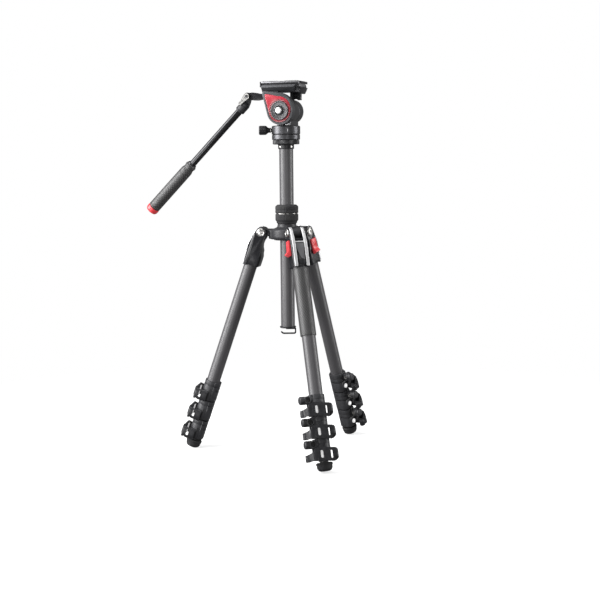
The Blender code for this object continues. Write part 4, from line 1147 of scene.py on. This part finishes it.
def studio_floor():
    """A pale round floor that fades into the white around it."""
    made = bmesh.new()
    turns = [2 * math.pi * k / 96 for k in range(96)]
    made.faces.new([made.verts.new((FLOOR_RADIUS * math.cos(a), FLOOR_RADIUS * math.sin(a),
                                    -FLOOR_DROP)) for a in turns])
    item = loose(made, "studio_floor")
    item.location = (AXIS.translation.x, AXIS.translation.y, 0.0)
    paper = Nodes("white_paper", (0.96, 0.96, 0.96), 0.9, specular=0.0)
    paper.colour(paper.blend(paper.noise(3.0, 2.0), (0.955, 0.955, 0.955), (0.97, 0.97, 0.97)))
    length = paper.node("ShaderNodeVectorMath")
    length.operation = "LENGTH"
    paper.link(paper.space(), length.inputs[0])
    fade = paper.remap(length.outputs["Value"], 0.75, 0.0, 0.30, 1.15)
    clear = paper.node("ShaderNodeBsdfTransparent")
    mix = paper.node("ShaderNodeMixShader")
    paper.link(fade, mix.inputs["Fac"])
    paper.link(clear.outputs["BSDF"], mix.inputs[1])
    paper.link(paper.shader.outputs["BSDF"], mix.inputs[2])
    paper.link(mix.outputs["Shader"], paper.tree.nodes["Material Output"].inputs["Surface"])
    rays = paper.node("ShaderNodeLightPath")
    paper.link(paper.math("MULTIPLY", rays.outputs["Is Camera Ray"], FLOOR_GLOW),
               paper.shader.inputs["Emission Strength"])
    paper.shader.inputs["Emission Color"].default_value = WHITE
    item.data.materials.append(paper.material)
    item.visible_diffuse = False
    item.visible_glossy = False


def softbox(name, azimuth, height, distance, size, power):
    """An area light that looks at the tripod from an azimuth measured from the camera."""
    light = bpy.data.lights.new(name, "AREA")
    light.shape = "RECTANGLE"
    light.size, light.size_y = size
    light.energy = power
    item = bpy.data.objects.new(name, light)
    bpy.context.scene.collection.objects.link(item)
    turn = math.radians(azimuth) + TURN - math.pi / 2
    aim = Vector((AXIS.translation.x, AXIS.translation.y, AIM_Z))
    item.location = aim + Vector((distance * math.cos(turn), distance * math.sin(turn), height))
    item.rotation_euler = (aim - item.location).to_track_quat("-Z", "Y").to_euler()


def camera():
    """The photo's camera: a 75 mm lens 2.5 m away, a little above the crowns and looking down."""
    forward = Vector((math.sin(YAW) * math.cos(PITCH), math.cos(YAW) * math.cos(PITCH),
                      -math.sin(PITCH)))
    right = Vector((math.cos(YAW), -math.sin(YAW), 0))
    up = right.cross(forward)
    level = Matrix((right * math.cos(ROLL) + up * math.sin(ROLL),
                    up * math.cos(ROLL) - right * math.sin(ROLL), -forward)).transposed().to_4x4()
    lens = bpy.data.cameras.new("camera")
    lens.lens = LENS_MM
    lens.sensor_width = SENSOR_MM
    lens.clip_start = 0.05
    item = bpy.data.objects.new("camera", lens)
    bpy.context.scene.collection.objects.link(item)
    away = Matrix.Rotation(TURN, 4, "Z")
    stand = Matrix.Translation((AXIS.translation.x, AXIS.translation.y, CAMERA_Z))
    item.matrix_world = stand @ away @ Matrix.Translation((0, -CAMERA_AWAY, 0)) @ level
    bpy.context.scene.camera = item


def surroundings():
    world = bpy.data.worlds.new("studio")
    world.use_nodes = True
    tree = world.node_tree
    rays = tree.nodes.new("ShaderNodeLightPath")
    strength = tree.nodes.new("ShaderNodeMapRange")
    strength.inputs["To Min"].default_value = AMBIENT
    strength.inputs["To Max"].default_value = 1.0
    tree.links.new(rays.outputs["Is Camera Ray"], strength.inputs["Value"])
    background = tree.nodes["Background"]
    background.inputs["Color"].default_value = WHITE
    tree.links.new(strength.outputs["Result"], background.inputs["Strength"])
    bpy.context.scene.world = world
    bpy.context.scene.view_settings.view_transform = "Standard"


studio_floor()
surroundings()
softbox("key_softbox", -78, 0.8, 2.0, (1.4, 2.3), 105)
softbox("low_softbox", -40, -0.32, 2.2, (0.8, 0.6), 13)
softbox("rim_softbox", 88, 0.5, 2.0, (0.6, 2.2), 30)
softbox("front_softbox", 8, 0.1, 3.0, (0.7, 2.0), 10)
softbox("top_softbox", -5, 2.2, 0.5, (1.4, 1.0), 20)
camera()
